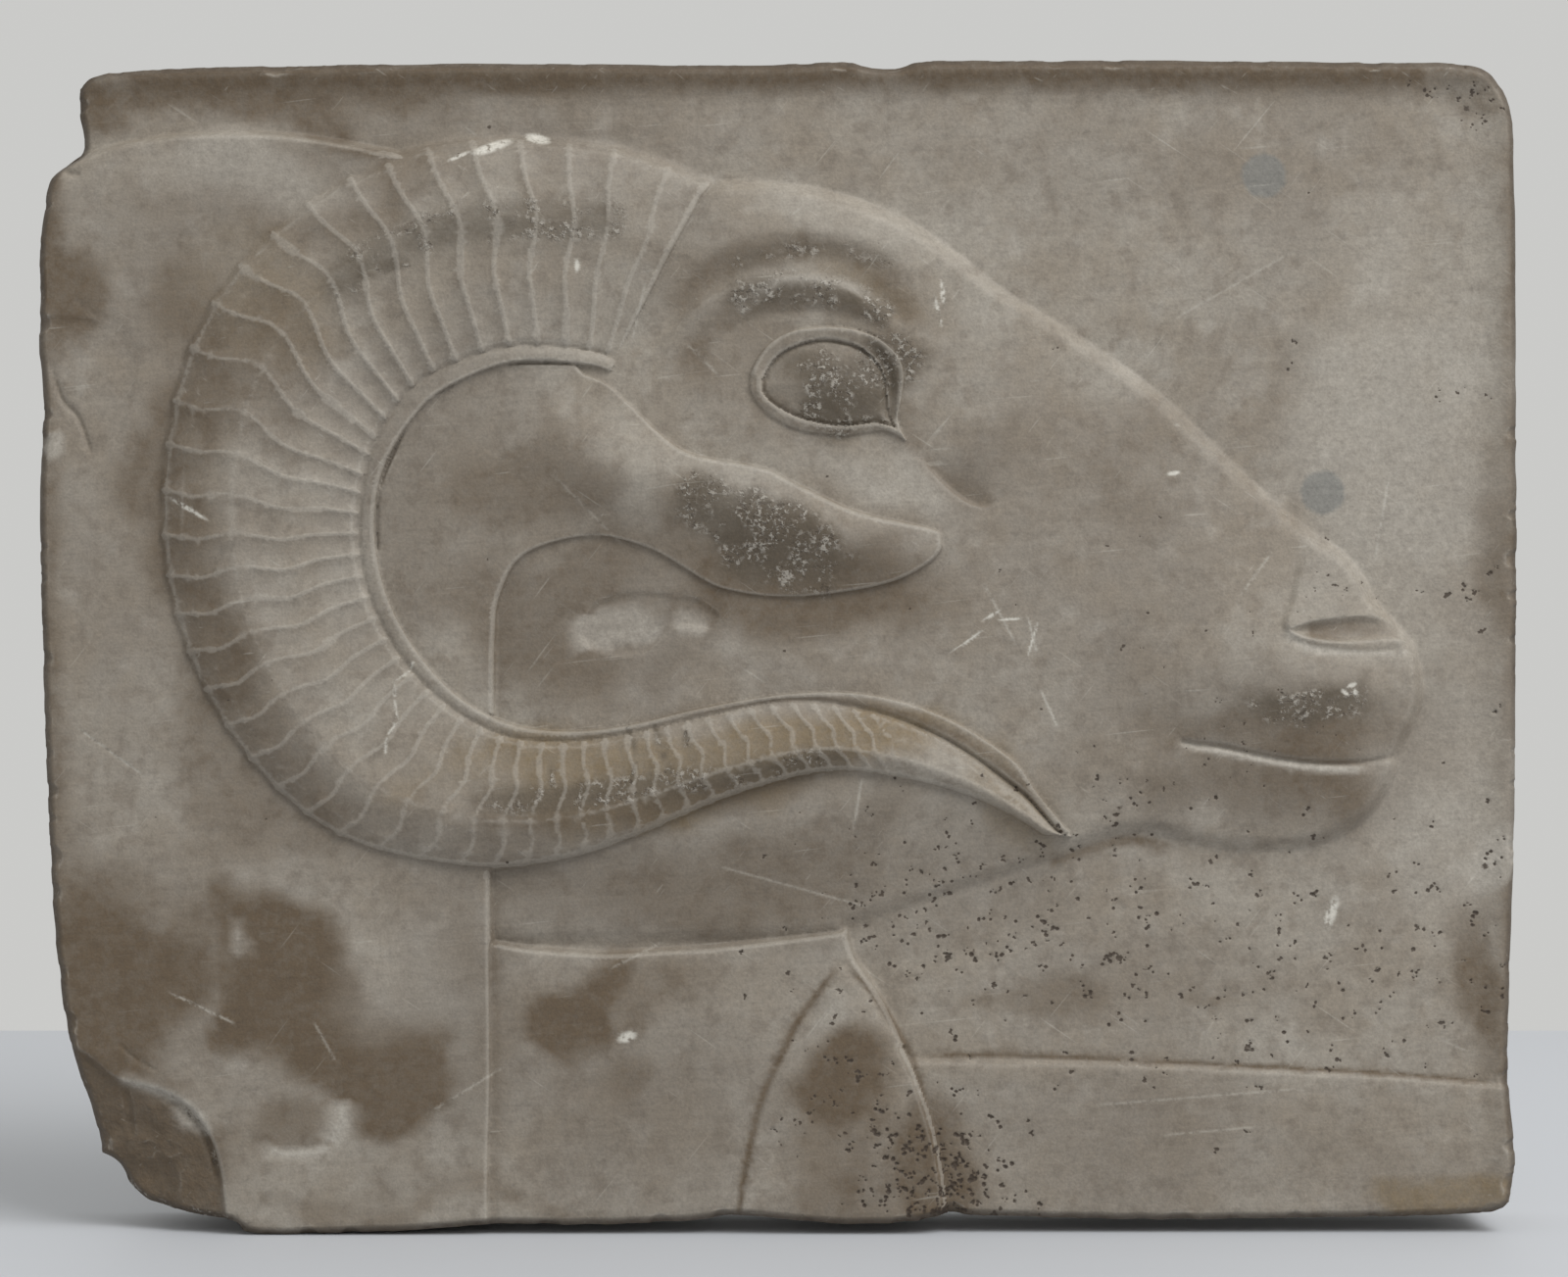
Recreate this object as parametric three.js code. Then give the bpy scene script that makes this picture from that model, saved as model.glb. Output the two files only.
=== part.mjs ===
import * as THREE from 'three';

// Stone relief panel: a small limestone plaque with a ram's head in low relief, facing right.
// The panel stands upright with its carved face towards -Y and its flat back on the plane y = 0.
// The origin is the middle of the back. All sizes are in millimetres.

// Driving dimensions of the slab
const panelWidth = 160;
const panelHeight = 127;
const groundThickness = 15;
const edgeWear = 1.3;

// How closely the spots where facets meet are set
const rimSpacing = 2.6;
const plainSpacing = 5.5;
const featureClearance = 0.45;
const leastGap = 0.15;
const tieBreak = 0.002;

// Heights of the carving above the sunk ground
const topRimHeight = 1.0;
const sideRimHeight = 0.8;
const rimWidth = 4.2;
const rimFlat = 0.1;
const wigHeight = 1.8;
const wigEdgeWidth = 1.1;
const shoulderHeight = 0.5;
const faceHeight = 2.1;
const faceEdgeWidth = 3.4;
const neckPanelHeight = 1.35;
const leafHeight = 0.45;
const leafFootShare = 0.9;
const noseWingHeight = 0.4;
const discHeight = 2.2;
const discEdgeWidth = 0.9;
const earCrestHeight = 2.0;
const bandHeight = 2.9;
const hornHeight = 4.6;
const fluteDepth = 0.34;
const lastFlute = 45;

// Depths of the finer cuts
const mouthDepth = 0.55;
const mouthWidth = 0.55;
const nostrilDepth = 1.0;
const eyeRimHeight = 0.55;
const eyeballHeight = 0.95;
const lidHeight = 0.55;
const browHeight = 0.5;
const lidFoldDepth = 0.15;
const tearHollowDepth = 0.55;
const eyeGrooveDepth = 0.35;
const scarDepth = 0.28;
const flakeDepth = 0.3;
const fractureDepth = 4.5;
const fractureStep = 0.5;

// Widths over which the forms round off or the cuts slope
const shoulderEdgeWidth = 0.7;
const neckEdgeWidth = 0.8;
const leafEdgeWidth = 5.5;
const bandEdgeWidth = 0.8;
const hornFootWidth = 1.0;
const eyeRimWidth = 0.9;
const eyeballEdgeWidth = 4.2;
const eyeGrooveWidth = 0.35;
const noseWingWidth = 1.4;
const nostrilEdgeWidth = 1.3;
const lidWidth = 1.6;
const lidFoldWidth = 0.5;
const browOuterWidth = 3.2;
const browInnerWidth = 1.0;
const tearUpperWidth = 2.4;
const tearLowerWidth = 0.35;
const earUpperWidth = 4.6;
const earLowerWidth = 5.2;
const brokenEdgeWidth = 0.6;

// The sketch is the photograph's frame of pixels, x to the right and y down. Its edges here are the
// slab's outermost points, so the outline and the figure are shares of the slab's width and height.
const sketch = { left: 39, right: 1550, top: 60, bottom: 1260 };
const curveSteps = 5;

const slabTop = [
  [78, 88], [94, 76], [140, 70], [260, 66], [500, 63], [740, 65], [820, 63], [862, 61], [888, 67],
  [915, 68], [936, 62], [960, 60], [1010, 60], [1200, 60], [1400, 62], [1490, 63], [1520, 72], [1536, 90],
];
const slabRight = [
  [1536, 90], [1545, 120], [1548, 200], [1549, 400], [1550, 550], [1549, 700], [1547, 860],
  [1543, 980], [1541, 1100], [1546, 1160], [1547, 1200], [1542, 1228],
];
const slabBottom = [
  [98, 1181], [112, 1188], [120, 1199], [125, 1211], [143, 1227], [160, 1233], [191, 1240],
  [238, 1247], [252, 1258], [300, 1260], [400, 1257], [507, 1250], [600, 1251], [700, 1247],
  [757, 1241], [820, 1247], [880, 1250], [935, 1247], [968, 1240], [1010, 1243], [1200, 1247],
  [1400, 1244], [1500, 1241], [1528, 1238], [1542, 1228],
];
const slabLeft = [
  [78, 88], [77, 110], [82, 150], [62, 170], [50, 187], [45, 215], [40, 260], [41, 300], [39, 350],
  [44, 410], [42, 450], [40, 530], [43, 650], [45, 730], [50, 850], [54, 930], [62, 1010], [74, 1080],
  [90, 1130], [98, 1181],
];

const wigArc = [
  [20, 190], [60, 168], [82, 158], [110, 146], [170, 135], [235, 131], [300, 134], [360, 143], [398, 150],
];
const faceProfile = [
  [735, 181], [765, 182], [800, 184], [860, 196], [925, 221], [985, 262], [1020, 290], [1100, 340],
  [1180, 396], [1240, 452], [1300, 508], [1344, 543], [1373, 562], [1392, 585], [1406, 610],
  [1423, 630], [1440, 650], [1449, 665], [1455, 692], [1455, 714], [1448, 737], [1437, 757],
  [1431, 772], [1429, 787], [1417, 812], [1400, 835], [1372, 854], [1345, 864], [1310, 869],
  [1266, 870], [1235, 866], [1201, 859], [1176, 852], [1148, 853], [1120, 861], [1080, 877],
  [1000, 904], [930, 927], [868, 947],
];
const mouthLine = [
  [1201, 756], [1218, 759], [1246, 762], [1277, 769], [1302, 774], [1333, 778], [1367, 779],
  [1395, 777], [1418, 773], [1440, 770],
];
const nostrilUpper = [
  [1312, 642], [1333, 634], [1359, 630], [1387, 628], [1412, 631], [1429, 641], [1440, 654],
];
const nostrilLower = [
  [1440, 654], [1415, 653], [1389, 655], [1361, 656], [1336, 653], [1320, 648], [1312, 642],
];
const noseFold = [
  [1340, 541], [1328, 565], [1319, 591], [1313, 616], [1305, 634], [1311, 648], [1330, 658],
  [1367, 664], [1401, 665], [1429, 661], [1450, 664],
];
const earTop = [
  [600, 377], [624, 387], [647, 408], [670, 431], [688, 447], [706, 458], [732, 464], [764, 469],
  [788, 475], [805, 484], [835, 499], [864, 513], [893, 522], [923, 528], [952, 534], [964, 541],
  [967, 556],
];
const earBottom = [
  [967, 556], [964, 566], [952, 579], [925, 595], [890, 606], [839, 614], [804, 616], [770, 614],
  [735, 607], [715, 598], [694, 585], [667, 569], [639, 559], [615, 554], [591, 555], [563, 561],
  [543, 569], [529, 581], [520, 598], [513, 619], [511, 643], [510, 678], [510, 735],
];
const earCrest = [
  [500, 440], [570, 462], [640, 482], [700, 497], [780, 520], [860, 545], [950, 562], [1080, 590],
];
const wigFront = [[507, 880], [507, 960], [508, 1100], [506, 1180], [505, 1280]];
const neckPanelTop = [
  [508, 959], [533, 964], [565, 967], [619, 970], [672, 967], [726, 964], [779, 958], [833, 951], [866, 946],
];
const neckPanelFront = [[866, 946], [874, 974], [893, 1003], [908, 1028], [926, 1067]];
const leafLeft = [
  [859, 983], [840, 1003], [818, 1035], [801, 1071], [786, 1103], [774, 1138], [763, 1178],
  [756, 1217], [753, 1270],
];
const leafRight = [
  [859, 983], [886, 1014], [904, 1042], [922, 1071], [935, 1099], [947, 1131], [956, 1163],
  [963, 1199], [970, 1270],
];
const shoulderLine = [
  [920, 1081], [1008, 1082], [1086, 1083], [1160, 1085], [1247, 1089], [1334, 1093], [1420, 1097],
  [1477, 1102], [1580, 1110],
];
const eyeOuterUpper = [
  [765, 381], [776, 361], [791, 346], [811, 337], [835, 334], [858, 334], [882, 339], [902, 349],
  [917, 364], [923, 384], [920, 408], [917, 431], [926, 452],
];
const eyeOuterLower = [
  [926, 452], [905, 442], [885, 443], [864, 446], [845, 445], [817, 441], [794, 431], [776, 417],
  [765, 400], [765, 381],
];
const eyeInnerUpper = [
  [777, 390], [788, 370], [805, 356], [835, 347], [864, 350], [882, 358], [896, 372], [903, 387],
  [905, 408], [908, 425], [914, 437],
];
const eyeInnerLower = [
  [914, 437], [893, 432], [864, 435], [835, 432], [811, 425], [791, 414], [779, 402], [777, 390],
];
const lidFold = [
  [733, 355], [745, 339], [762, 328], [788, 321], [820, 318], [850, 320], [880, 328], [905, 340], [922, 360],
];
const lidCrest = [
  [700, 372], [735, 332], [780, 306], [830, 300], [880, 308], [915, 325], [935, 350], [940, 380],
];
const browLine = [
  [665, 330], [700, 300], [747, 270], [790, 250], [835, 243], [880, 247], [915, 258], [940, 280], [955, 310],
];
const tearLine = [
  [926, 452], [940, 466], [956, 483], [972, 499], [990, 511], [1005, 514], [1022, 509], [1036, 497],
];
const fractureRidge = [
  [70, 1060], [97, 1078], [122, 1098], [160, 1108], [194, 1126], [219, 1162], [230, 1205], [236, 1262],
];
const fractureReach = 170;
const scarOutline = [
  [592, 650], [604, 618], [640, 604], [690, 606], [716, 612], [735, 628], [722, 643], [690, 640],
  [672, 655], [655, 668], [620, 668], [600, 662], [592, 650],
];
const flakeEdge = [
  [50, 322], [100, 326], [131, 340], [143, 365], [140, 400], [128, 440], [104, 468], [50, 486],
];

// Soft forms of the face: height in millimetres, centre and half widths on the sketch
const softForms = {
  muzzle: { height: 1.3, centre: [1335, 705], reach: [120, 95] },
  chin: { height: 0.5, centre: [1345, 822], reach: [90, 45] },
  mouthCorner: { height: -0.35, centre: [1200, 748], reach: [36, 26] },
  cheekBone: { height: 0.35, centre: [1060, 640], reach: [170, 120] },
  cheekHollow: { height: -0.5, centre: [660, 650], reach: [150, 90] },
  browMass: { height: 0.35, centre: [850, 235], reach: [170, 60] },
  eyeSocket: { height: -0.3, centre: [835, 390], reach: [130, 90] },
};

// The throat: how much lower it is than the face, and where it starts and ends on the sketch
const throat = { drop: 0.9, top: 800, bottom: 950, left: 920, right: 1180 };

// The horn is laid out by spokes across it, each at a place counted in flutes from the forehead:
// [flute, inner end, outer end, inner edge of the plain band along the curl]
const hornSpokes = [
  [-2.2, [629, 369], [735, 180], [624, 384]],
  [0, [602, 359], [628, 143], [596, 376]],
  [3, [521, 354], [480, 135], [524, 374]],
  [6, [445, 380], [351, 168], [459, 400]],
  [8, [409, 411], [268, 226], [427, 429]],
  [10, [386, 447], [204, 300], [404, 462]],
  [12, [373, 485], [163, 404], [391, 495]],
  [15, [367, 545], [151, 546], [387, 545]],
  [18, [378, 609], [178, 670], [399, 606]],
  [21, [410, 670], [243, 783], [428, 661]],
  [24, [456, 718], [337, 863], [471, 708]],
  [27, [513, 750], [467, 895], [523, 736]],
  [30, [576, 757], [565, 890], [580, 743]],
  [33, [641, 749], [650, 865], [639, 737]],
  [37, [722, 731], [756, 822], [717, 719]],
  [41, [808, 715], [852, 798], [803, 705]],
  [45, [890, 725], [928, 806], [896, 710]],
  [49, [968, 755], [994, 824], [975, 737]],
  [53, [1037, 799], [1052, 851], [1044, 781]],
  [56.5, [1078, 842], [1093, 850], [1094, 840]],
];

// Where the horn rises out of the forehead, grows to its full height and tapers, in flutes
const hornGrowth = {
  rootLength: 0.55, rootShare: 0.3, baseShare: 0.62, bandShare: 0.76, length: 6, taperFrom: 36, tipShare: 0.6,
};

// Lean of the arrises between flutes: a bow and two kicks, in flutes, at places along the horn
const leanBow = [[0, 0.1], [2, 0.35], [4, 0.42], [8, 0.8], [10, 0.9], [12, 0.42], [15, 0]];
const leanKick = [[0, 0.1], [10, 0.1], [15, 0.3], [16, 0.42], [56, 0.42]];

// Section of the horn: height at shares of the way from its inner to its outer edge
const hornSection = [
  [0, 0.7], [0.06, 0.72], [0.18, 0.8], [0.3, 0.89], [0.4, 0.92], [0.58, 1], [0.66, 0.95], [0.74, 0.87],
  [0.82, 0.84], [0.9, 0.74], [0.96, 0.54], [1, 0.1],
];

// Rows of spots across the horn, from the band's edge to the foot of the outer edge
const hornRows = ['band', -0.07, -0.012, 0.012, 0.16, 0.3, 0.42, 0.58, 0.7, 0.82, 0.92, 0.98, 1];

const sketchX = (x) => ((x - sketch.left) / (sketch.right - sketch.left) - 0.5) * panelWidth;
const sketchZ = (y) => (0.5 - (y - sketch.top) / (sketch.bottom - sketch.top)) * panelHeight;
const sketchSize = (pixels) => (pixels / (sketch.right - sketch.left)) * panelWidth;
const onPanel = ([x, y]) => new THREE.Vector2(sketchX(x), sketchZ(y));

const clamp01 = (value) => Math.min(1, Math.max(0, value));
const ease = (value) => clamp01(value) ** 2 * (3 - 2 * clamp01(value));
const mix = (a, b, share) => a + (b - a) * share;

/** A rounded shoulder: 0 at the edge of a form, 1 once it is a full width inside. */
const shoulder = (depth, width) => Math.sqrt(1 - (1 - clamp01(depth / width)) ** 2);

/** A soft ridge or groove: 1 on its line, fading within about one width. */
const hump = (distance, width) => Math.exp(-((distance / width) ** 2));

/** Points along the smooth curve through sketch points, on the panel's face. */
function smoothCurve(points) {
  const curve = new THREE.SplineCurve(points.map(onPanel));
  return curve.getPoints((points.length - 1) * curveSteps);
}

/** Nearest place on a chain of points: its distance, its share of the way along, and which side. */
function nearestOn(chain, x, z) {
  let best = Infinity;
  let along = 0;
  let side = 0;
  for (let i = 0; i < chain.length - 1; i += 1) {
    const a = chain[i];
    const dx = chain[i + 1].x - a.x;
    const dz = chain[i + 1].y - a.y;
    const length = dx * dx + dz * dz || 1e-12;
    const share = clamp01(((x - a.x) * dx + (z - a.y) * dz) / length);
    const gap = (x - a.x - share * dx) ** 2 + (z - a.y - share * dz) ** 2;
    if (gap < best) {
      best = gap;
      along = (i + share) / (chain.length - 1);
      side = Math.sign(dx * (z - a.y) - dz * (x - a.x));
    }
  }
  return { distance: Math.sqrt(best), along, side };
}

/** Whether a spot lies within a closed ring of points. */
function insideRing(ring, { x, y }) {
  let inside = false;
  for (let i = 0; i < ring.length - 1; i += 1) {
    const [a, b] = [ring[i], ring[i + 1]];
    if (a.y > y !== b.y > y && x < ((b.x - a.x) * (y - a.y)) / (b.y - a.y) + a.x) inside = !inside;
  }
  return inside;
}

/** A closed area of the carving, bounded by curves laid end to end. */
class Area {
  constructor(...curves) {
    this.rim = curves.flatMap((points) => (points.length > 2 ? smoothCurve(points) : points.map(onPanel)));
    this.rim.push(this.rim[0]);
  }

  /** Depth inside the edge, negative outside. */
  depth(x, z) {
    const { distance } = nearestOn(this.rim, x, z);
    return insideRing(this.rim, { x, y: z }) ? distance : -distance;
  }
}

/** A ridge, groove or step along an open curve, fading at its two ends. */
class Stroke {
  constructor(points, fade = 0.15) {
    this.chain = smoothCurve(points);
    this.fade = fade;
  }

  /** Height share at a point, with its own width on the left and the right side of the curve. */
  at(x, z, leftWidth, rightWidth = leftWidth) {
    const { distance, along, side } = nearestOn(this.chain, x, z);
    const ends = ease(along / this.fade) * ease((1 - along) / this.fade);
    return ends * hump(distance, side > 0 ? leftWidth : rightWidth);
  }
}

/** Height of a soft form at a point: a dome, or a hollow where its height is negative. */
function softForm({ height, centre, reach }, x, z) {
  const across = (x - sketchX(centre[0])) / sketchSize(reach[0]);
  const up = (z - sketchZ(centre[1])) / sketchSize(reach[1]);
  return height * Math.exp(-(across ** 2) - up ** 2);
}

/** Value of a smooth list of [key, value] pairs at a key. */
function lookUp(pairs, key) {
  let i = 0;
  while (i < pairs.length - 2 && key > pairs[i + 1][0]) i += 1;
  const [k0, v0] = pairs[i];
  const [k1, v1] = pairs[i + 1];
  return mix(v0, v1, clamp01((key - k0) / (k1 - k0)));
}

/** The curled horn as strips between spokes; says where a point lies along and across it. */
class Horn {
  constructor(spokes) {
    const flutes = spokes.map(([flute]) => flute);
    const [inner, outer, band] = [1, 2, 3].map((end) => smoothCurve(spokes.map((spoke) => spoke[end])));
    this.spokes = inner.map((point, i) => {
      const station = Math.min(Math.floor(i / curveSteps), flutes.length - 2);
      const share = i / curveSteps - station;
      const across = outer[i].clone().sub(point);
      const bandShare = band[i].clone().sub(point).dot(across) / across.lengthSq();
      return { flute: mix(flutes[station], flutes[station + 1], share), inner: point, across, bandShare };
    });
  }

  /** The place on the panel for a flute count and a share across. */
  place(flute, t) {
    let i = 0;
    while (i < this.spokes.length - 2 && flute > this.spokes[i + 1].flute) i += 1;
    const [a, b] = [this.spokes[i], this.spokes[i + 1]];
    const share = clamp01((flute - a.flute) / (b.flute - a.flute));
    const inner = a.inner.clone().lerp(b.inner, share);
    const across = a.across.clone().lerp(b.across, share);
    const shareOf = (value) => (value === 'band' ? mix(a.bandShare, b.bandShare, share) : value);
    return inner.addScaledVector(across, shareOf(t));
  }

  /** Spots along both edges, the band, and the arris and the hollow of every flute. */
  spots() {
    const first = this.spokes[0].flute;
    const last = this.spokes.at(-1).flute;
    const stations = [first + 0.02, first + 0.35];
    let flute = Math.ceil(first * 2) / 2 + 0.5;
    while (flute < last - 0.4) {
      stations.push(flute);
      flute += flute < lastFlute ? 0.5 : 1;
    }
    stations.push(last - 0.05);
    return stations.flatMap((station) => hornRows.map((t) => (
      this.place(t === 'band' || t <= 0 ? station : station - fluteLean(station, t), t)
    )));
  }

  /** Flute count, share across and the band's share at a point, or null off the horn. */
  locate(x, z) {
    for (let i = 0; i < this.spokes.length - 1; i += 1) {
      const a = this.spokes[i];
      const b = this.spokes[i + 1];
      const pastA = (a.across.x * (z - a.inner.y) - a.across.y * (x - a.inner.x)) / a.across.length();
      const pastB = (b.across.x * (z - b.inner.y) - b.across.y * (x - b.inner.x)) / b.across.length();
      if (pastA < 0 || pastB > 0) continue;
      const share = pastA / (pastA - pastB || 1);
      const inner = a.inner.clone().lerp(b.inner, share);
      const across = a.across.clone().lerp(b.across, share);
      const t = ((x - inner.x) * across.x + (z - inner.y) * across.y) / across.lengthSq();
      const bandShare = mix(a.bandShare, b.bandShare, share);
      if (t > 1 || t < bandShare) continue;
      return { flute: mix(a.flute, b.flute, share), t, bandShare, width: across.length() };
    }
    return null;
  }
}

const horn = new Horn(hornSpokes);
const face = new Area(
  faceProfile, [[868, 960], [490, 965]], [[490, 400], [590, 300]], [[640, 230], [690, 195]],
);
const wig = new Area(wigArc, [[640, 200], [507, 500]], wigFront, [[-20, 1300], [-20, 200]]);
const disc = new Area(
  earTop, earBottom, [[440, 740], [380, 640]], [[380, 500], [420, 410]], [[500, 365], [590, 366]],
);
const neckPanel = new Area(
  [[470, 955], [490, 957]], neckPanelTop, neckPanelFront, leafRight.slice(3), [[470, 1300], [470, 1000]],
);
const leaf = new Area(leafLeft.toReversed(), leafRight);
const eyeOuter = new Area(eyeOuterUpper, eyeOuterLower);
const eyeInner = new Area(eyeInnerUpper, eyeInnerLower);
const nostril = new Area(nostrilUpper, nostrilLower);
const noseWing = new Area(noseFold, [[1480, 640], [1440, 560]], [[1400, 530], [1345, 530]]);
const scar = new Area(scarOutline);
const flake = new Area(flakeEdge, [[10, 486], [10, 322]]);
const mouth = new Stroke(mouthLine, 0.06);
const fold = new Stroke(lidFold, 0.12);
const lid = new Stroke(lidCrest, 0.3);
const brow = new Stroke(browLine, 0.35);
const tear = new Stroke(tearLine, 0.35);
const ear = new Stroke(earCrest, 0.3);
const shoulderEdge = smoothCurve(shoulderLine);
const fracture = smoothCurve(fractureRidge);

/** The sunk ground with its raised rim along the top and the right, and the shoulder below. */
function groundSurface(x, z) {
  const fade = (fromEdge) => 1 - ease(fromEdge / rimWidth - rimFlat);
  const rim = Math.max(topRimHeight * fade(panelHeight / 2 - z), sideRimHeight * fade(panelWidth / 2 - x));
  const { distance, side } = nearestOn(shoulderEdge, x, z);
  const below = x > sketchX(leafRight[1][0]) && side < 0;
  return rim + (below ? shoulderHeight * shoulder(distance, shoulderEdgeWidth) : 0);
}

/** The eye: a raised rim around a domed eyeball, under a lid fold, a lid bulge and a brow. */
function eyeRelief(x, z) {
  const rim = eyeOuter.depth(x, z);
  const ball = eyeInner.depth(x, z);
  const groove = eyeGrooveDepth * hump(ball, eyeGrooveWidth);
  if (ball >= 0) return eyeballHeight * shoulder(ball, eyeballEdgeWidth) - groove;
  if (rim >= 0) return eyeRimHeight * shoulder(rim, eyeRimWidth);
  const bulge = lidHeight * lid.at(x, z, lidWidth);
  const browRidge = browHeight * brow.at(x, z, browOuterWidth, browInnerWidth);
  return bulge + browRidge - lidFoldDepth * fold.at(x, z, lidFoldWidth);
}

/** How far a point has gone down into the throat, under the cheek and behind the jaw. */
function throatShare(x, z) {
  const down = (sketchZ(throat.top) - z) / (sketchZ(throat.top) - sketchZ(throat.bottom));
  const back = (sketchX(throat.right) - x) / (sketchX(throat.right) - sketchX(throat.left));
  return ease(down) * ease(back);
}

/** The ram's face: forehead, eye, cheek, muzzle, nostril, mouth and chin. */
function faceSurface(x, z) {
  const depth = face.depth(x, z);
  if (depth <= 0) return 0;
  let level = faceHeight - throat.drop * throatShare(x, z);
  for (const form of Object.values(softForms)) level += softForm(form, x, z);
  level += noseWingHeight * shoulder(noseWing.depth(x, z), noseWingWidth) + eyeRelief(x, z);
  level -= mouthDepth * mouth.at(x, z, mouthWidth);
  level -= tearHollowDepth * tear.at(x, z, tearUpperWidth, tearLowerWidth);
  level -= nostrilDepth * shoulder(nostril.depth(x, z), nostrilEdgeWidth);
  level -= scarDepth * shoulder(scar.depth(x, z), brokenEdgeWidth);
  return level * shoulder(depth, faceEdgeWidth);
}

/** The neck panel under the jaw and the leaf-shaped end of the beard strap on it. */
function neckSurface(x, z) {
  const panel = neckPanelHeight * shoulder(neckPanel.depth(x, z), neckEdgeWidth);
  const onLeaf = leaf.depth(x, z);
  if (onLeaf <= 0) return panel;
  return Math.max(panel, neckPanelHeight * leafFootShare) + leafHeight * shoulder(onLeaf, leafEdgeWidth);
}

/** The disc inside the curl, running out into the ear with its worn crest. */
function discSurface(x, z) {
  const level = discHeight + earCrestHeight * ear.at(x, z, earUpperWidth, earLowerWidth);
  return level * shoulder(disc.depth(x, z), discEdgeWidth);
}

/** How far the arrises between flutes lean along the horn, in flutes, at a share across it. */
function fluteLean(flute, t) {
  const bow = lookUp(leanBow, flute) * hump(t - 0.6, 0.2);
  const kick = lookUp(leanKick, flute) * (hump(t - 0.35, 0.12) + 0.7 * hump(t - 0.75, 0.1));
  return bow - kick;
}

/** How far a flute is cut below the arrises beside it. */
function fluteHollow(flute, t) {
  const phase = flute + fluteLean(flute, t);
  const fromArris = Math.abs(phase - Math.round(phase));
  const fading = ease((lastFlute + 1.5 - flute) / 3);
  const wornCrest = mix(1, 0.6, hump(t - 0.58, 0.08));
  return fluteDepth * fading * wornCrest * (1 - (1 - 2 * fromArris) ** 2);
}

/** The ribbed horn and the plain band along the inside of its curl. */
function hornSurface(x, z) {
  const place = horn.locate(x, z);
  if (!place) return 0;
  const { flute, t, bandShare, width } = place;
  const grown = ease((flute - hornSpokes[0][0]) / hornGrowth.length);
  const taper = mix(1, hornGrowth.tipShare, ease((flute - hornGrowth.taperFrom) / 20));
  if (t < 0) {
    const level = bandHeight * taper * mix(hornGrowth.bandShare, 1, grown);
    return level * shoulder((t - bandShare) * width, bandEdgeWidth);
  }
  const level = hornHeight * taper * mix(hornGrowth.baseShare, 1, grown) * lookUp(hornSection, t);
  const rooted = ease((flute - hornSpokes[0][0]) / hornGrowth.rootLength + hornGrowth.rootShare);
  return rooted * (level - fluteHollow(flute, t)) * shoulder((1 - t) * width, hornFootWidth);
}

/** Height of the carved face above the ground at a point of the panel. */
function carvedHeight(x, z) {
  const wigSurface = wigHeight * shoulder(wig.depth(x, z), wigEdgeWidth);
  const flaked = flakeDepth * shoulder(flake.depth(x, z), brokenEdgeWidth);
  const surfaces = [groundSurface, faceSurface, neckSurface, discSurface, hornSurface];
  return Math.max(wigSurface, ...surfaces.map((surface) => surface(x, z))) - flaked;
}

/** Drop of the broken lower left corner, which falls away from its ridge line. */
function fractureDrop(x, z) {
  const { distance, side } = nearestOn(fracture, x, z);
  if (side >= 0) return 0;
  const slope = ease(distance / sketchSize(fractureReach));
  return fractureDepth * slope + fractureStep * ease(distance / brokenEdgeWidth);
}

/** Evenly spaced spots in rows alongside a curve; a row's offset is to the left of the curve's run. */
function rowsAlong(points, offsets, spacing) {
  const curve = new THREE.SplineCurve(points.map(onPanel));
  const count = Math.max(2, Math.round(curve.getLength() / spacing));
  return Array.from({ length: count + 1 }, (_, i) => {
    const place = curve.getPointAt(i / count);
    const run = curve.getTangentAt(i / count);
    return offsets.map((offset) => new THREE.Vector2(place.x - run.y * offset, place.y + run.x * offset));
  }).flat();
}

/** Offsets for the rounded shoulder of a form, from its foot up to its full width. */
const shoulderRows = (width, side = 1) => [0, 0.16 * width * side, 0.5 * width * side, width * side];

/** Offsets on both sides of a ridge or groove. */
const grooveRows = (left, right = left) => [-right, -0.45 * right, 0, 0.45 * left, left];

/** The slab's outline as spots in order, anticlockwise from its lower left corner. */
function slabOutline() {
  const along = (run) => rowsAlong(run, [0], rimSpacing).slice(0, -1);
  const sides = [slabBottom, slabRight.toReversed(), slabTop.toReversed(), slabLeft];
  return sides.flatMap(along);
}

/** Spots where facets meet: close along every edge of the carving, wide apart on plain stone. */
class Spots {
  constructor(outline) {
    this.outline = [...outline, outline[0]];
    this.all = [...outline];
  }

  /** Adds the spots that lie on the slab and stay clear of those placed before. */
  add(spots, clearance = featureClearance) {
    const earlier = this.all.length;
    for (const spot of spots) {
      if (insideRing(this.outline, spot) && nearestOn(this.outline, spot.x, spot.y).distance > leastGap) {
        const crowded = this.all.some((other, i) => (
          other.distanceTo(spot) < (i < earlier ? clearance : leastGap)
        ));
        if (!crowded) this.all.push(spot);
      }
    }
  }
}

/** Offsets of the rim's slope from the slab's outermost edge. */
const rimRows = [0.5, 0.8, 1.1, 1.6].map((share) => -share * rimWidth);

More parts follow.
